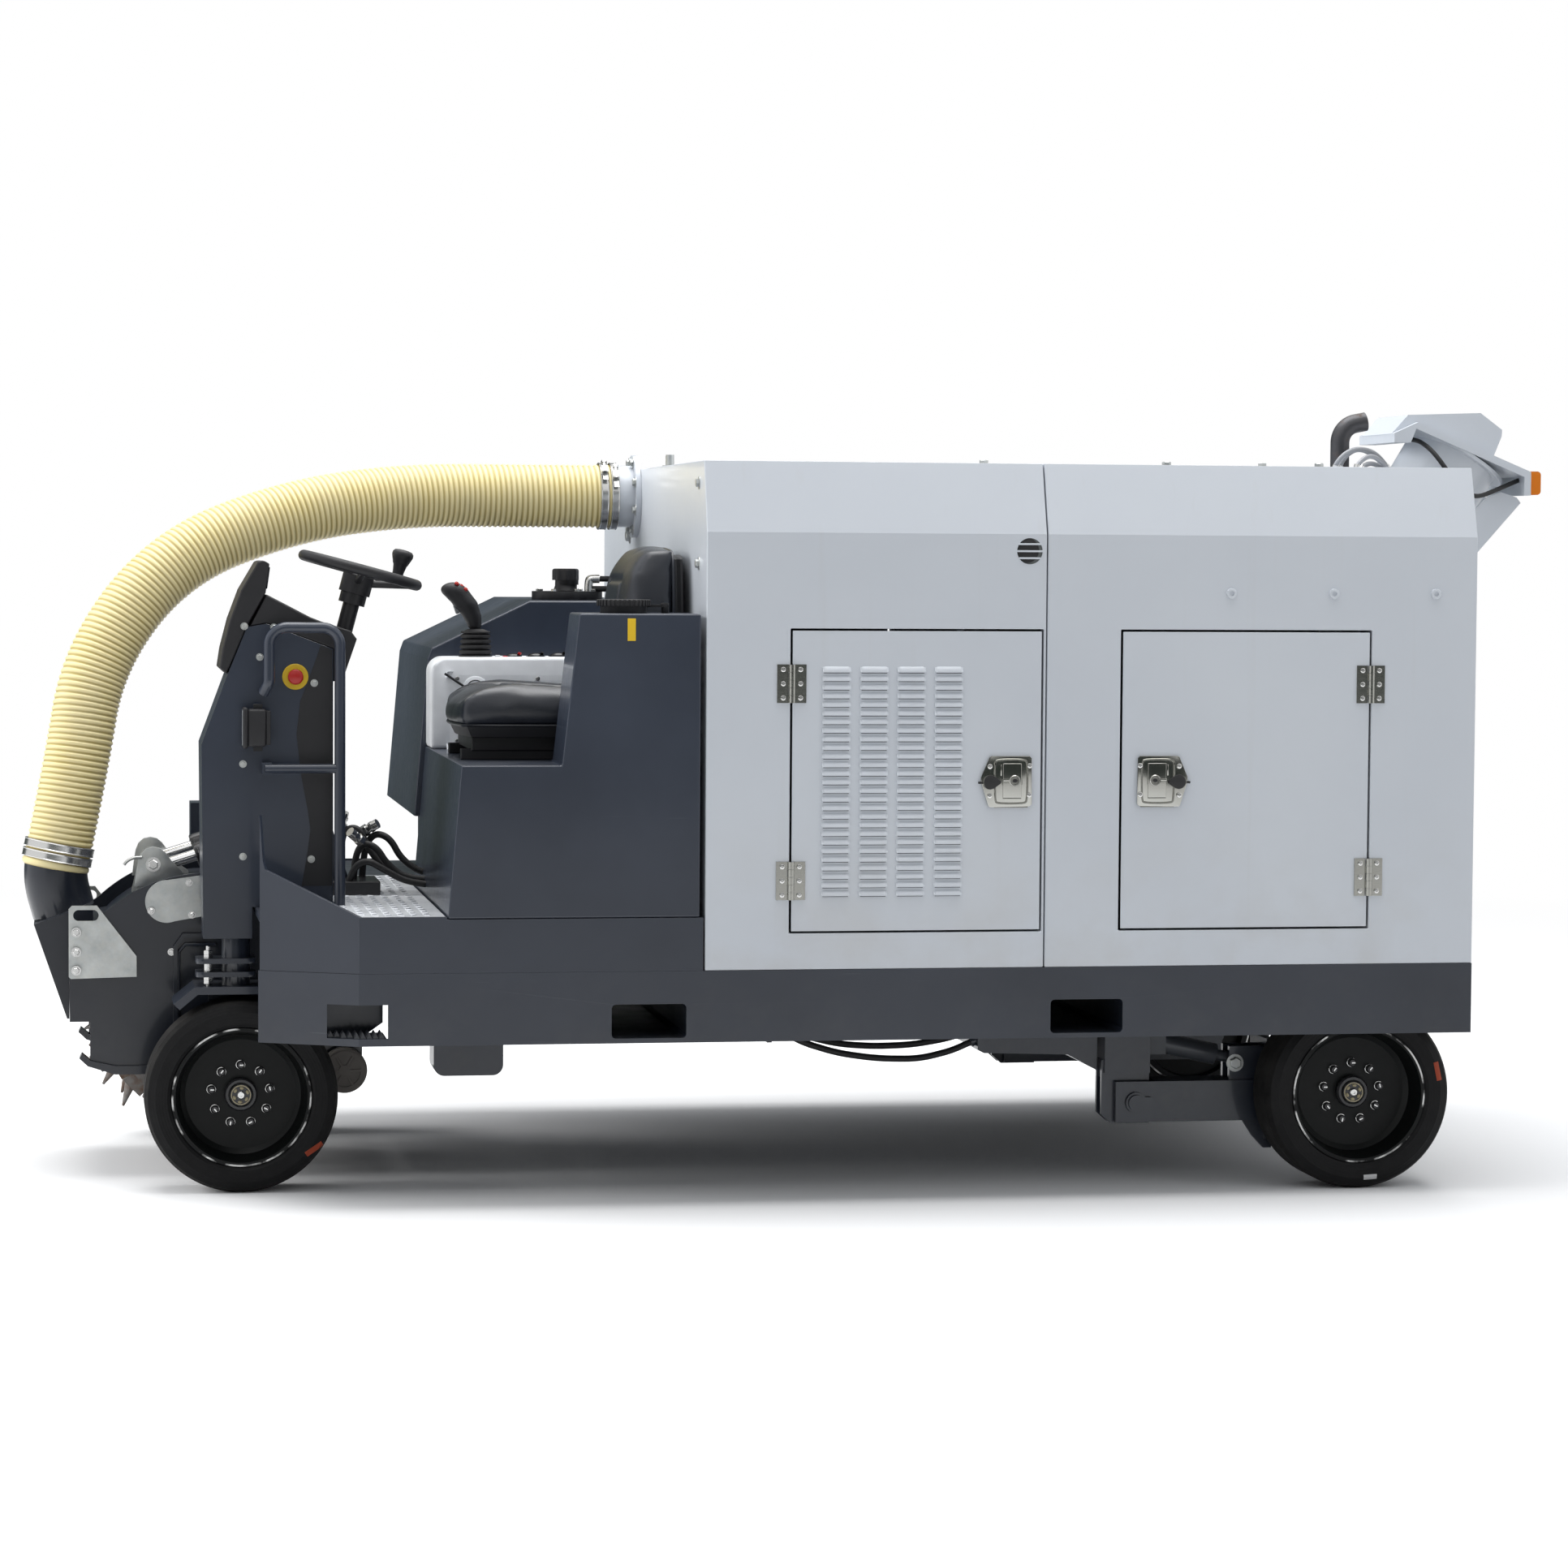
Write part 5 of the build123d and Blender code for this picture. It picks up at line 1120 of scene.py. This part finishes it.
def makeWheels():
    ring = primitive("torus", major_segments=28, minor_segments=8, major_radius=0.0098, minor_radius=0.0019, at=move(0, 0, 0.0015))
    bar = primitive("cube", size=1, at=move(0.0018, 0, 0.0150) @ stretch(0.0090, 0.0028, 0.003))
    bright = joinAll("nutRing", ring, bar)
    nut = lathe([(0.0, 0.0), (0.0085, 0.0), (0.0085, 0.0130), (0.0070, 0.0148), (0.0, 0.0148)], 20)
    cap = lathe([(0.0, 0.0), (0.040, 0.0), (0.040, 0.016), (0.036, 0.020), (0.0255, 0.020), (0.0255, 0.023), (0.0, 0.023)])
    pin = lathe([(0.0, 0.022), (0.0092, 0.022), (0.0092, 0.0275), (0.0075, 0.0290), (0.0035, 0.0290), (0.0035, 0.026),
                 (0.0, 0.026)], 24)
    lobes = [primitive("uv_sphere", segments=12, ring_count=8, radius=1,
                       at=turn(60 * n, "Z") @ move(0.0168, 0, 0.0235) @ stretch(0.0038, 0.0056, 0.0040)) for n in range(6)]
    lobes.append(lathe([(0.0215, 0.022), (0.0238, 0.022), (0.0238, 0.0245), (0.0215, 0.0245), (0.0215, 0.022)], 36))
    lobes = joinAll("hubLobes", *lobes)
    brass = plainGloss("brassCap", (0.42, 0.36, 0.22), 0.35)
    black = finishes["hydraulic_black"]
    markPaint = {"Red": plainGloss("tyreRed", (0.33, 0.045, 0.012), 0.6), "White": plainGloss("tyreWhite", (0.60, 0.60, 0.60), 0.6)}
    for body, (end, y, way) in wheels["places"].items():
        x, z = wheelPlaces[end]
        face = y + way * wheels["floor"]
        facing = (0, way, 0)
        studs = []
        for index in range(wheels["nuts"]):
            angle = 2 * math.pi * index / wheels["nuts"]
            stud = (x + wheels["circle"] * math.sin(angle), face, z + wheels["circle"] * math.cos(angle))
            studs.append(aimed(stud, facing, 0.9 * index))
        middle = [aimed((x, face, z), facing, 0.4)]
        for model, label, finish, places in ((nut, "nuts", black, studs), (bright, "nutRings", "bright", studs),
                                             (cap, "hub", black, middle), (pin, "hubPin", "bright", middle),
                                             (lobes, "hubLobes", brass, middle)):
            dress(spread(model, "wheelPiece", places), f"{label}_{body}", finish, body, 35)
        for label, dx, dz, long, wide, turned in wheels["marks"][end]:
            patch = patchOn(body.replace("wheel", "tyre"), x + dx, z + dz, long, wide, turned, way)
            dress(patch, f"mark{label}_{body}", markPaint[label], body)
    forget(nut, bright, cap, pin, lobes)


makeWheels()
print("wheels made")


# Raised lugs on the aluminium tread plate, in rows that lean to either side
tread = {"x": (-0.826, -0.616), "y": (-0.900, 0.320), "z": 0.6900, "pitch": 0.030, "long": 0.022, "wide": 0.0052, "high": 0.0016}


def makeTread():
    lug = primitive("cube", size=1, at=stretch(tread["long"], tread["wide"], tread["high"] + 0.0008))
    onSome(lug, "EDGE", lambda edge: (edge.verts[0].co.xy - edge.verts[1].co.xy).length < 1e-6,
           bpy.ops.mesh.bevel, offset=0.0022, segments=2)
    for v in lug.data.vertices:
        if v.co.z > 0:
            v.co.x *= 0.86
            v.co.y *= 0.62
    places = []
    columns, rows = [int((tread[key][1] - tread[key][0]) / tread["pitch"]) for key in ("x", "y")]
    for column in range(columns + 1):
        for row in range(rows + 1):
            x, y = wall + tread["x"][0] + column * tread["pitch"], tread["y"][0] + row * tread["pitch"]
            if y >= -0.88 or x >= wall - 0.79:
                places.append(move(x, y, tread["z"] + tread["high"] / 2) @ turn(45 if (column + row) % 2 else -45, "Z"))
    dress(spread(lug, "treadLugs", places), "treadLugs", "tread_aluminium")
    forget(lug)


makeTread()
print("tread made")


# Hose ends: bands with their screws, ribs over the elbow, and the flange's bolts
def makeHoseEnds():
    band = lathe([(0.0845, -0.0100), (0.0868, -0.0100), (0.0876, -0.0085), (0.0866, -0.0070), (0.0866, 0.0070),
                  (0.0876, 0.0085), (0.0868, 0.0100), (0.0845, 0.0100), (0.0845, -0.0100)], 56)
    housing = bevelled((0.086, -0.011, -0.0085), (0.098, 0.013, 0.0085), 0.002)
    lying = {"rotation": (math.pi / 2, 0, 0)}
    worm = primitive("cylinder", vertices=16, radius=0.0055, depth=0.034, location=(0.0945, -0.004, 0), **lying)
    head = primitive("cylinder", vertices=6, radius=0.0078, depth=0.009, location=(0.0945, -0.025, 0), **lying)
    tail = bevelled((0.0868, 0.008, -0.0065), (0.0882, 0.050, 0.0065), 0.0005, 1, turn(-6, "Z"))
    clamp = joinAll("hoseClamp", band, housing, worm, head, tail)
    rise = Vector((0.039, 0.006, 0.188)).normalized()
    low, high = Vector(hose["route"][0]), Vector(hose["route"][-1])
    lower = [aimed(low - rise * 0.006, rise, -0.15), aimed(low - rise * 0.031, rise, 0.10)]
    dress(spread(clamp, "clamps", lower), "lowerClamps", "bright", "head", 30)
    upper = [aimed(high + Vector((along, 0, 0)), (1, 0, 0), roll) for along, roll in ((-0.047, 2.3), (-0.019, 2.5))]
    dress(spread(clamp, "clamps", upper), "upperClamps", "bright", angle=30)
    forget(clamp)

    rib = [(0.0780, 0.0098), (0.0812, 0.0072), (0.0838, 0.0030), (0.0838, -0.0030), (0.0812, -0.0072), (0.0780, -0.0098)]
    shape = [(radius, height - 0.0098 - 0.0196 * n) for n in range(3) for radius, height in rib]
    cuff = lathe([(0.0770, 0.0), *shape, (0.0775, -0.0600), (0.0770, 0.0)], 56, aimed(low - rise * 0.001, rise))

    def height(place):
        reach = place - low
        return max(0.0, min(1.0, ((reach - rise * reach.dot(rise)).length - 0.0775) / 0.006))

    smooth(cuff, 60)
    # the cuff gets the same painted shade in its grooves and painted highlight on its ribs
    markRidge(cuff, height)
    dress(cuff, "hoseCuff", "cream_hose", "head")
    bolts = []
    for index in range(8):
        angle = math.radians(22.5 + 45 * index)
        bolts.append((spot(-14, 285 + 94 * math.sin(angle), 1681 + 94 * math.cos(angle)), front, 0.7 * index))
    boltSet("flangeBolts", "flange", "chassis", "zinc_plate", bolts)


makeHoseEnds()
print("hose ends made")


# Emergency stop and work lamp on the tower's side
def makeTowerSide():
    face = aimed(spot(-932, -560.3, 1234), left)
    base = lathe([(0.0, 0.0), (0.031, 0.0), (0.031, 0.0026), (0.030, 0.0036), (0.020, 0.0036), (0.0195, 0.009), (0.0, 0.009)], 36, face)
    dress(base, "stopBase", plainGloss("stopYellow", (0.62, 0.42, 0.01), 0.4), angle=35)
    button = lathe([(0.0, 0.008), (0.011, 0.008), (0.012, 0.0115), (0.0175, 0.0130), (0.0185, 0.0165), (0.0180, 0.0205),
                    (0.0145, 0.0232), (0.0, 0.0240)], 36, face)
    dress(button, "stopButton", plainGloss("stopRed", (0.42, 0.012, 0.01), 0.3), angle=50)

    case = bevelled((-0.0450, -0.0270, -0.0450), (0.0, 0.0270, 0.0450), 0.007, 3)
    fins = [bevelled((0.0, -0.0230 + 0.0092 * n, -0.0400), (0.0100, -0.0198 + 0.0092 * n, 0.0400), 0.0008, 1) for n in range(6)]
    rim = bevelled((-0.0560, -0.0310, -0.0490), (-0.0430, 0.0310, 0.0490), 0.006, 3)
    mark = min(rim.data.polygons, key=lambda p: p.center.x).index
    onSome(rim, "FACE", lambda f: f.index == mark, bpy.ops.mesh.inset, thickness=0.006, depth=-0.004)
    yoke = bevelled((-0.030, -0.0015, -0.0560), (-0.008, 0.0015, 0.0560), 0.0006, 1)
    arm = bevelled((-0.020, 0.0265, -0.012), (-0.002, 0.0600, 0.012), 0.0015, 1)
    lamp = joinAll("workLamp", case, *fins, rim, yoke, arm)
    lampAt = Matrix.Translation(spot(-1003, -594, 1114))
    lamp.data.transform(lampAt)
    dress(lamp, "workLamp", "black_plastic", angle=35)
    glass = bevelled((-0.0555, -0.0250, -0.0430), (-0.0515, 0.0250, 0.0430), 0.001, 1, lampAt)
    dress(glass, "lampLens", plainGloss("lampLens", (0.50, 0.53, 0.56), 0.12))
    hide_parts("tower_fittings")


makeTowerSide()
print("tower side made")


# Front end: clevis plates, lever, cylinder glands, rib flange, arm nuts
nose = {
    "ear": [(-1306, 705), (-1302, 738), (-1297, 770), (-1290, 788), (-1277, 800), (-1260, 804), (-1243, 800), (-1230, 789),
            (-1216, 770), (-1184, 736), (-1215, 727), (-1262, 708)],
    "lever": [(-1288, -190, 778), (-1304, -192, 778), (-1316, -194, 774), (-1327, -195, 767), (-1331, -195, 760)],
    "rib": [(-1208, 340), (-1204, 557), (-1187, 577), (-1111, 576), (-1111, 569), (-1184, 569), (-1197, 554), (-1200, 340)],
    "cylinder": ((-0.862, 0.872), (-1.257, 0.749)),       # the cylinders' pins, x from the wall and z
}


def makeFront():
    plates = [plateOf(nose["ear"], side * 178.5, side * 186) for side in (-1, 1)]
    dress(joinAll("plates", *plates), "clevisPlates", "zinc_plate", "head", 35)
    dress(tubeAlong([spot(*row) for row in nose["lever"]], 0.0038), "pinLever", "zinc_plate", "head")

    start, end = [Vector((x, 0, z)) for x, z in nose["cylinder"]]
    along = (end - start).normalized()
    gland = lathe([(0.0165, 0.0), (0.0305, 0.0), (0.0305, 0.003), (0.0285, 0.0035), (0.0285, 0.005), (0.0305, 0.0055),
                   (0.0305, 0.007), (0.0270, 0.009), (0.0165, 0.009), (0.0165, 0.0)])
    places = [aimed(start + along * 0.2985 + Vector((wall, y, 0)), along) for y in (-0.150, 0.150)]
    dress(spread(gland, "glands", places), "glands", "hydraulic_black", "barrels", 35)
    sleeve = lathe([(0.0, 0.0), (0.0105, 0.0), (0.0105, 0.0195), (0.0, 0.0195)], 24)
    tail = lathe([(0.0, 0.0), (0.0060, 0.0), (0.0060, 0.010), (0.0050, 0.0115), (0.0, 0.0115)], 20)
    for side, label in ((-1, "Left"), (1, "Right")):
        dress(plateOf(nose["rib"], side * 300, side * 311, 0.002), f"ribFlange{label}", "frame_paint", "head", 35)
        stack = []
        for model, facing, heights in ((boltModels["arm"], up, (560.2, 569.0)), (boltModels["arm"], down, (515.8, 507.0)),
                                       (sleeve, up, (528.2,)), (tail, up, (578,)), (tail, down, (499,))):
            stack.append(spread(model, "nuts", [aimed(spot(-1137, side * 529, z), facing) for z in heights]))
        dress(joinAll("nuts", *stack), f"armNuts{label}", "bright", f"yoke_{label.lower()}", 30)
    forget(gland, sleeve, tail)


makeFront()
print("front made")


# Console: vent, screws, lever, rocker switches and the joystick with its boot
console = {
    "side": -105.3, "vent": (-458, 1190), "lever": [(-536, -118, 1229.5), (-510, -118, 1212), (-484, -116, 1195)],
    "thick": [(0.0, 0.0185), (0.15, 0.0180), (0.35, 0.0215), (0.55, 0.0262), (0.72, 0.0255), (0.86, 0.0265), (1.0, 0.0255)],
    "lean": [(0.0, 0.0), (0.30, -0.008), (0.55, -0.024), (0.8, -0.048), (1.0, -0.074)],
    "buttons": [(-502, -58, 1452), (-490, -50, 1446), (-480, -56, 1438)],
}


def makeConsole():
    side, (x, z) = console["side"], console["vent"]
    low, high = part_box("console")
    corner = [(-531 - 39 * math.sin(math.radians(t)), 1231 + 39 * math.cos(math.radians(t)) - 0.002 * t) for t in range(90, -1, -9)]
    outline = [(-60, low.z * 1000), (-570, low.z * 1000), *corner, (-60, 1272)]
    shell = plateOf(outline, -105, high.y * 1000, 0.010)
    # the console's whiter paint is painted light on a part in shade
    dress(shell, "consoleShell", "console_white", angle=45, slot="white_paint")
    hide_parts("console")
    knob = lathe([(0.0, 0.012), (0.009, 0.012), (0.0115, 0.0105), (0.0125, 0.004), (0.030, 0.003), (0.0325, 0.0012),
                  (0.033, -0.001), (0.0, -0.001)], 44, aimed(spot(x, side - 1, z), left))
    dress(knob, "ventKnob", "console_white", angle=35, slot="white_paint")
    arc = [spot(x + 22.5 * math.cos(math.radians(t)), side - 3.9, z + 22.5 * math.sin(math.radians(t))) for t in range(25, 171, 12)]
    tip = primitive("cone", vertices=12, radius1=0.0050, radius2=0.0, depth=0.011, at=aimed(spot(-437, side - 3.9, 1197), (0.35, 0, -1)))
    ring = primitive("torus", major_segments=36, minor_segments=6, major_radius=0.0165, minor_radius=0.0008,
                     at=aimed(spot(x, side - 4.2, z), left))
    dress(joinAll("bars", tubeAlong(arc, 0.0016, 8), tip, ring), "ventBars", "black_plastic")
    panel = bevelled((-0.2050, -0.0006, -0.0900), (0.2050, 0.0012, 0.0900), 0.0008, 1)
    onSome(panel, "EDGE", lambda e: abs(e.verts[0].co.y - e.verts[1].co.y) > 0.0001, bpy.ops.mesh.bevel, offset=0.012, segments=4)
    panel.data.transform(Matrix.Translation(spot(-317, side - 0.5, 1136)))
    dress(panel, "consolePanel", "console_white", slot="white_paint")
    dress(tubeAlong([spot(*row) for row in console["lever"]], 0.0030), "consoleLever", "black_plastic")
    print("console case made")


def makeSwitches():
    caps, lights = [], []
    tilt = move(0.0115, -0.009, 0.0088) @ turn(22, "Y") @ turn(-22, "X")
    for index in range(4):
        x = -356 + 57 * index
        place = Matrix.Translation(spot(x, -50, 1265.0 + 1.25 * (x + 404) / 61))
        caps.append(bevelled((-0.0240, -0.026, 0.0), (0.0240, 0.026, 0.0045), 0.0015, 2, place))
        caps.append(primitive("uv_sphere", segments=24, ring_count=12, radius=1, at=place @ move(0, 0, 0.0040) @ stretch(0.0215, 0.0210, 0.0098)))
        mark = bevelled((-0.0045, -0.0160, 0.0), (0.0045, 0.0060, 0.0020), 0.0008, 1, place @ tilt)
        (caps if index else lights).append(mark)
    white, red = [bevelled((-0.0060, -0.006, 0.0), (0.0060, 0.006, 0.0090), 0.0015, 2, Matrix.Translation(spot(*row)))
                  for row in ((-399, -74, 1266), (-380, -71, 1264))]
    dress(white, "plugWhite", plainGloss("ventPale", (0.62, 0.63, 0.64), 0.35))
    dress(joinAll("caps", *caps), "rockerSwitches", "hydraulic_black", angle=40)
    dress(joinAll("lights", *lights, red), "redSwitches", finishes["switch_red"], angle=30)


def makeStick():
    rings = [(0.0, 0.0), (0.043, 0.0), (0.0435, 0.004), (0.041, 0.008)]
    for ring in range(4):
        wide, low = 0.0410 - 0.0012 * ring, 0.010 + 0.0135 * ring
        rings += [(wide + out, low + height) for out, height in ((-0.006, 0), (0, 0.003), (0.0004, 0.0065), (-0.001, 0.010), (-0.007, 0.013))]
    rings += [(0.0375, 0.0645), (0.0370, 0.0685), (0.0290, 0.0700), (0.0200, 0.0745), (0.0, 0.076)]
    boot = dress(lathe(rings, 40, Matrix.Translation(spot(-452, -45, 1265.3))), "stickBoot", "hose_rubber", angle=40)
    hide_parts("console_controls")
    handle = primitive("uv_sphere", segments=28, ring_count=40, radius=1)
    for v in handle.data.vertices:
        a, b, c = v.co
        rise, angle = (c + 1) / 2, math.atan2(b, a)
        thick = between(rise, console["thick"]) * math.sqrt(max(0.0, 1 - abs(c) ** 7))
        grip = 1 + 0.04 * math.sin(rise * 26) * max(0.0, -math.cos(angle)) * (0.15 < rise < 0.7)
        v.co = Vector((between(rise, console["lean"]) + thick * grip * math.cos(angle) * 1.08, thick * 0.88 * math.sin(angle),
                       rise * 0.118 + thick * math.cos(angle) * 0.45 * rise))
    handle.data.transform(Matrix.Translation(spot(-452, -45, 1336)))
    dress(handle, "stickHandle", "black_plastic", angle=60)
    button = lathe([(0.0, 0.0), (0.0058, 0.0), (0.0058, 0.0045), (0.0045, 0.006), (0.0, 0.0062)], 18)
    buttons = spread(button, "buttons", [aimed(spot(*row), (0.55, -0.30, 0.78)) for row in console["buttons"]])
    dress(buttons, "stickButtons", finishes["switch_red"], angle=40)
    trigger = bevelled((-0.004, -0.006, -0.012), (0.006, 0.006, 0.012), 0.003, 3, aimed(spot(-500, -45, 1390), (-0.35, 0, 1)))
    dress(trigger, "stickTrigger", plainGloss("ventGrey", (0.20, 0.21, 0.22), 0.4))
    forget(button)


finishes["switch_red"] = plainGloss("switchRed", (0.45, 0.015, 0.012), 0.3)
makeConsole()
makeSwitches()
makeStick()
print("console made")


# Tank caps, the blank label, the filler's knob and its breather pipes
def makeTanks():
    grip = [bevelled((0.060, -0.0030, 0.0), (0.0640, 0.0030, 0.0150), 0.001, 1,
                     Matrix.Translation(spot(-182, -850, 1409.5)) @ turn(10 * n, "Z")) for n in range(36)]
    dress(joinAll("grip", *grip), "waterCapGrip", "black_plastic")
    label = bevelled((-0.0095, -0.0008, -0.0260), (0.0095, 0.0004, 0.0260), 0.0004, 1, Matrix.Translation(spot(-176, -950.5, 1356)))
    dress(label, "blankLabel", plainGloss("labelYellow", (0.80, 0.52, 0.012), 0.4))
    cap = primitive("cylinder", vertices=96, radius=0.0335, depth=0.030)
    onSome(cap, "EDGE", lambda e: all(v.co.z > 0.01 for v in e.verts), bpy.ops.mesh.bevel, offset=0.006, segments=3)
    for v in cap.data.vertices:
        v.co.x *= 1 + 0.045 * math.cos(8 * math.atan2(v.co.y, v.co.x))
        v.co.y *= 1 + 0.045 * math.cos(8 * math.atan2(v.co.y, v.co.x))
    collar = lathe([(0.0, -0.015), (0.0270, -0.015), (0.0275, -0.030), (0.0320, -0.0415), (0.034, -0.0430), (0.0, -0.0430)])
    knob = joinAll("fillerKnob", cap, collar)
    knob.data.transform(Matrix.Translation(spot(-184, 300, 1477)))
    dress(knob, "fillerKnob", "black_plastic", angle=35)
    elbow = [spot(x, 262, z) for x, z in ((-128, 1433), (-128, 1462), (-122, 1466), (-100, 1466))]
    dress(tubeAlong(elbow, 0.011, 16), "breatherElbow", "bright")
    for index, (z, start) in enumerate(((1466, -103), (1440, -118))):
        line = [spot(start, 262, z), spot(-70, 262, z), spot(-40, 264, z - 1), spot(-1, 264, z - 2)]
        dress(tubeAlong(line, 0.0075), f"breatherPipe{index}", "hose_rubber")


makeTanks()
print("tanks made")


# Hydraulic hoses and fittings, in mm: on the floor behind the tower, and on the roof's rear
lines = {
    "floor": [
        [(-800, -180, 705), (-800, -182, 800), (-790, -190, 846), (-755, -200, 850), (-735, -205, 800), (-690, -215, 745),
         (-620, -220, 716), (-570, -222, 722)],
        [(-772, -235, 706), (-770, -238, 770), (-752, -242, 815), (-716, -248, 806), (-690, -250, 762), (-640, -255, 724),
         (-570, -258, 724)],
        [(-745, -150, 706), (-742, -152, 790), (-716, -160, 835), (-676, -170, 822), (-650, -176, 770), (-600, -186, 735),
         (-570, -188, 732)],
        [(-790, -290, 706), (-780, -292, 752), (-745, -296, 778), (-700, -298, 752), (-640, -300, 718), (-575, -300, 714)],
    ],
    "roof": [
        [(1700, -330, 1757), (1704, -335, 1776), (1742, -330, 1808), (1800, -290, 1810), (1850, -240, 1791), (1880, -205, 1766)],
        [(1722, -300, 1757), (1728, -304, 1784), (1768, -295, 1812), (1822, -250, 1802), (1868, -200, 1776)],
        [(1746, -370, 1757), (1750, -368, 1772), (1786, -350, 1794), (1832, -300, 1782), (1866, -262, 1758.6)],
        [(1770, -320, 1757), (1776, -316, 1762.8), (1806, -296, 1776), (1846, -262, 1766), (1874, -238, 1757.2)],
    ],
    "loose": [((-800, -180, 846), (0.2, -0.3, 1)), ((-742, -152, 836), (0.8, -0.4, 0.5)), ((-752, -242, 818), (-0.7, -0.5, 0.6))],
    "cable": [(1958, -30, 1842), (1985, -95, 1846), (2010, -150, 1820), (2040, -176, 1775), (2085, -176, 1710),
              (2135, -160, 1690), (2200, -130, 1712), (2262, -108, 1736), (2270, -100, 1738)],
}


def fitting(place, direction, radius=0.012, long=0.04):   # a swivel nut, a collar and a ferrule
    rows = ((6, 1.25, 0.34, 0.17), (18, 0.92, 0.30, 0.46), (6, 1.12, 0.22, 0.66), (18, 1.02, 0.40, 0.92))
    parts = [primitive("cylinder", vertices=sides, radius=radius * wide, depth=long * deep, location=(0, 0, long * height))
             for sides, wide, deep, height in rows]
    whole = joinAll("fitting", *parts)
    whole.data.transform(aimed(place, direction))
    return whole


def makeHydraulics():
    ends = []
    for kind, radius, finish in (("floor", 0.0085, "hose_rubber"), ("roof", 0.0062, "line_grey")):
        for index, route in enumerate(lines[kind]):
            line = [spot(*point) for point in route]
            dress(tubeAlong(line, radius, 16), f"{kind}Hose{index}", finish)
            for end, inward in ((line[0], line[1]), (line[-1], line[-2])):
                ends.append(fitting(end - (inward - end).normalized() * 0.026, inward - end, radius * 1.25, 0.034))
    ends += [fitting(spot(*place), facing) for place, facing in lines["loose"]]
    dress(joinAll("fittings", *ends), "hoseFittings", "bright", angle=30)
    block = bevelled((-0.060, -0.095, 0.0), (0.060, 0.095, 0.034), 0.003, 2, Matrix.Translation(spot(-770, -215, 690.2)))
    dress(block, "floorManifold", "hydraulic_black")
    dress(tubeAlong([spot(*row) for row in lines["cable"]], 0.0062), "lampCable", "hose_rubber")


makeHydraulics()
print("hydraulics made")


# Small trim: step teeth, roof pipes, gauge wheels, screen, dark band
band = [(-881, 1281), (-905, 1215), (-920, 1177), (-929, 1097), (-919, 1004), (-902, 913), (-896, 868), (-905, 800),
        (-917, 734), (-844, 734), (-844, 1298), (-872, 1309)]


def makeTrim():
    tooth = primitive("cone", vertices=4, radius1=0.0095, radius2=0.0008, depth=0.012, location=(0, 0, 0.006), rotation=(0, 0, math.pi / 4))
    places = [Matrix.Translation(spot(-867 + 14.4 * index, side * y, 406.6)) for side in (-1, 1) for index in range(9)
              for y in (844, 868, 892, 916) if not (y > 904 and index < 4 or y > 880 and index < 2)]
    dress(spread(tooth, "teeth", places), "stepTeeth", "frame_paint")
    stub = lathe([(0.0, 0.0), (0.019, 0.0), (0.019, 0.003), (0.0105, 0.004), (0.0105, 0.030), (0.0085, 0.030),
                  (0.0085, 0.010), (0.0, 0.010)], 24)
    places = [aimed(spot(x, y, 1751.2), up) for x, y in ((30, -120), (52, 40))]
    dress(spread(stub, "pipes", places), "roofPipes", "zinc_plate", angle=35)
    forget(tooth, stub)

    for side, label in ((-1, "Left"), (1, "Right")):
        face = lathe([(0.0, 0.0), (0.014, 0.0), (0.014, 0.0035), (0.0, 0.0035)], 24)
        rim = lathe([(0.040, 0.0), (0.048, 0.0), (0.048, 0.0030), (0.040, 0.0030), (0.040, 0.0)])
        spokes = [bevelled((0.010, -0.003, -0.0002), (0.043, 0.003, 0.0026), 0.0008, 1, turn(60 * n, "Z")) for n in range(6)]
        whole = joinAll("gauge", face, rim, *spokes)
        whole.data.transform(aimed(spot(-800, side * 345, 262), (0, side, 0)))
        dress(whole, f"gaugeDetail{label}", "gauge_grey", "gauge", 35)

    screen = bevelled((-0.0012, -0.090, -0.026), (0.0020, 0.090, 0.026), 0.001, 1,
                      Matrix.Translation(spot(-996, -452, 1469)) @ turn(7.5, "Y"))
    dress(screen, "screenGlass", plainGloss("screenGlass", (0.012, 0.016, 0.022), 0.06))
    strip = meshOf("band", [spot(x, -560.6, z) for x, z in band], True)
    modify(strip, "SOLIDIFY", thickness=0.0012, offset=0)
    outward(strip)
    dress(strip, "towerBand", "black_plastic")


makeTrim()
forget(*boltModels.values())
print("trim made")
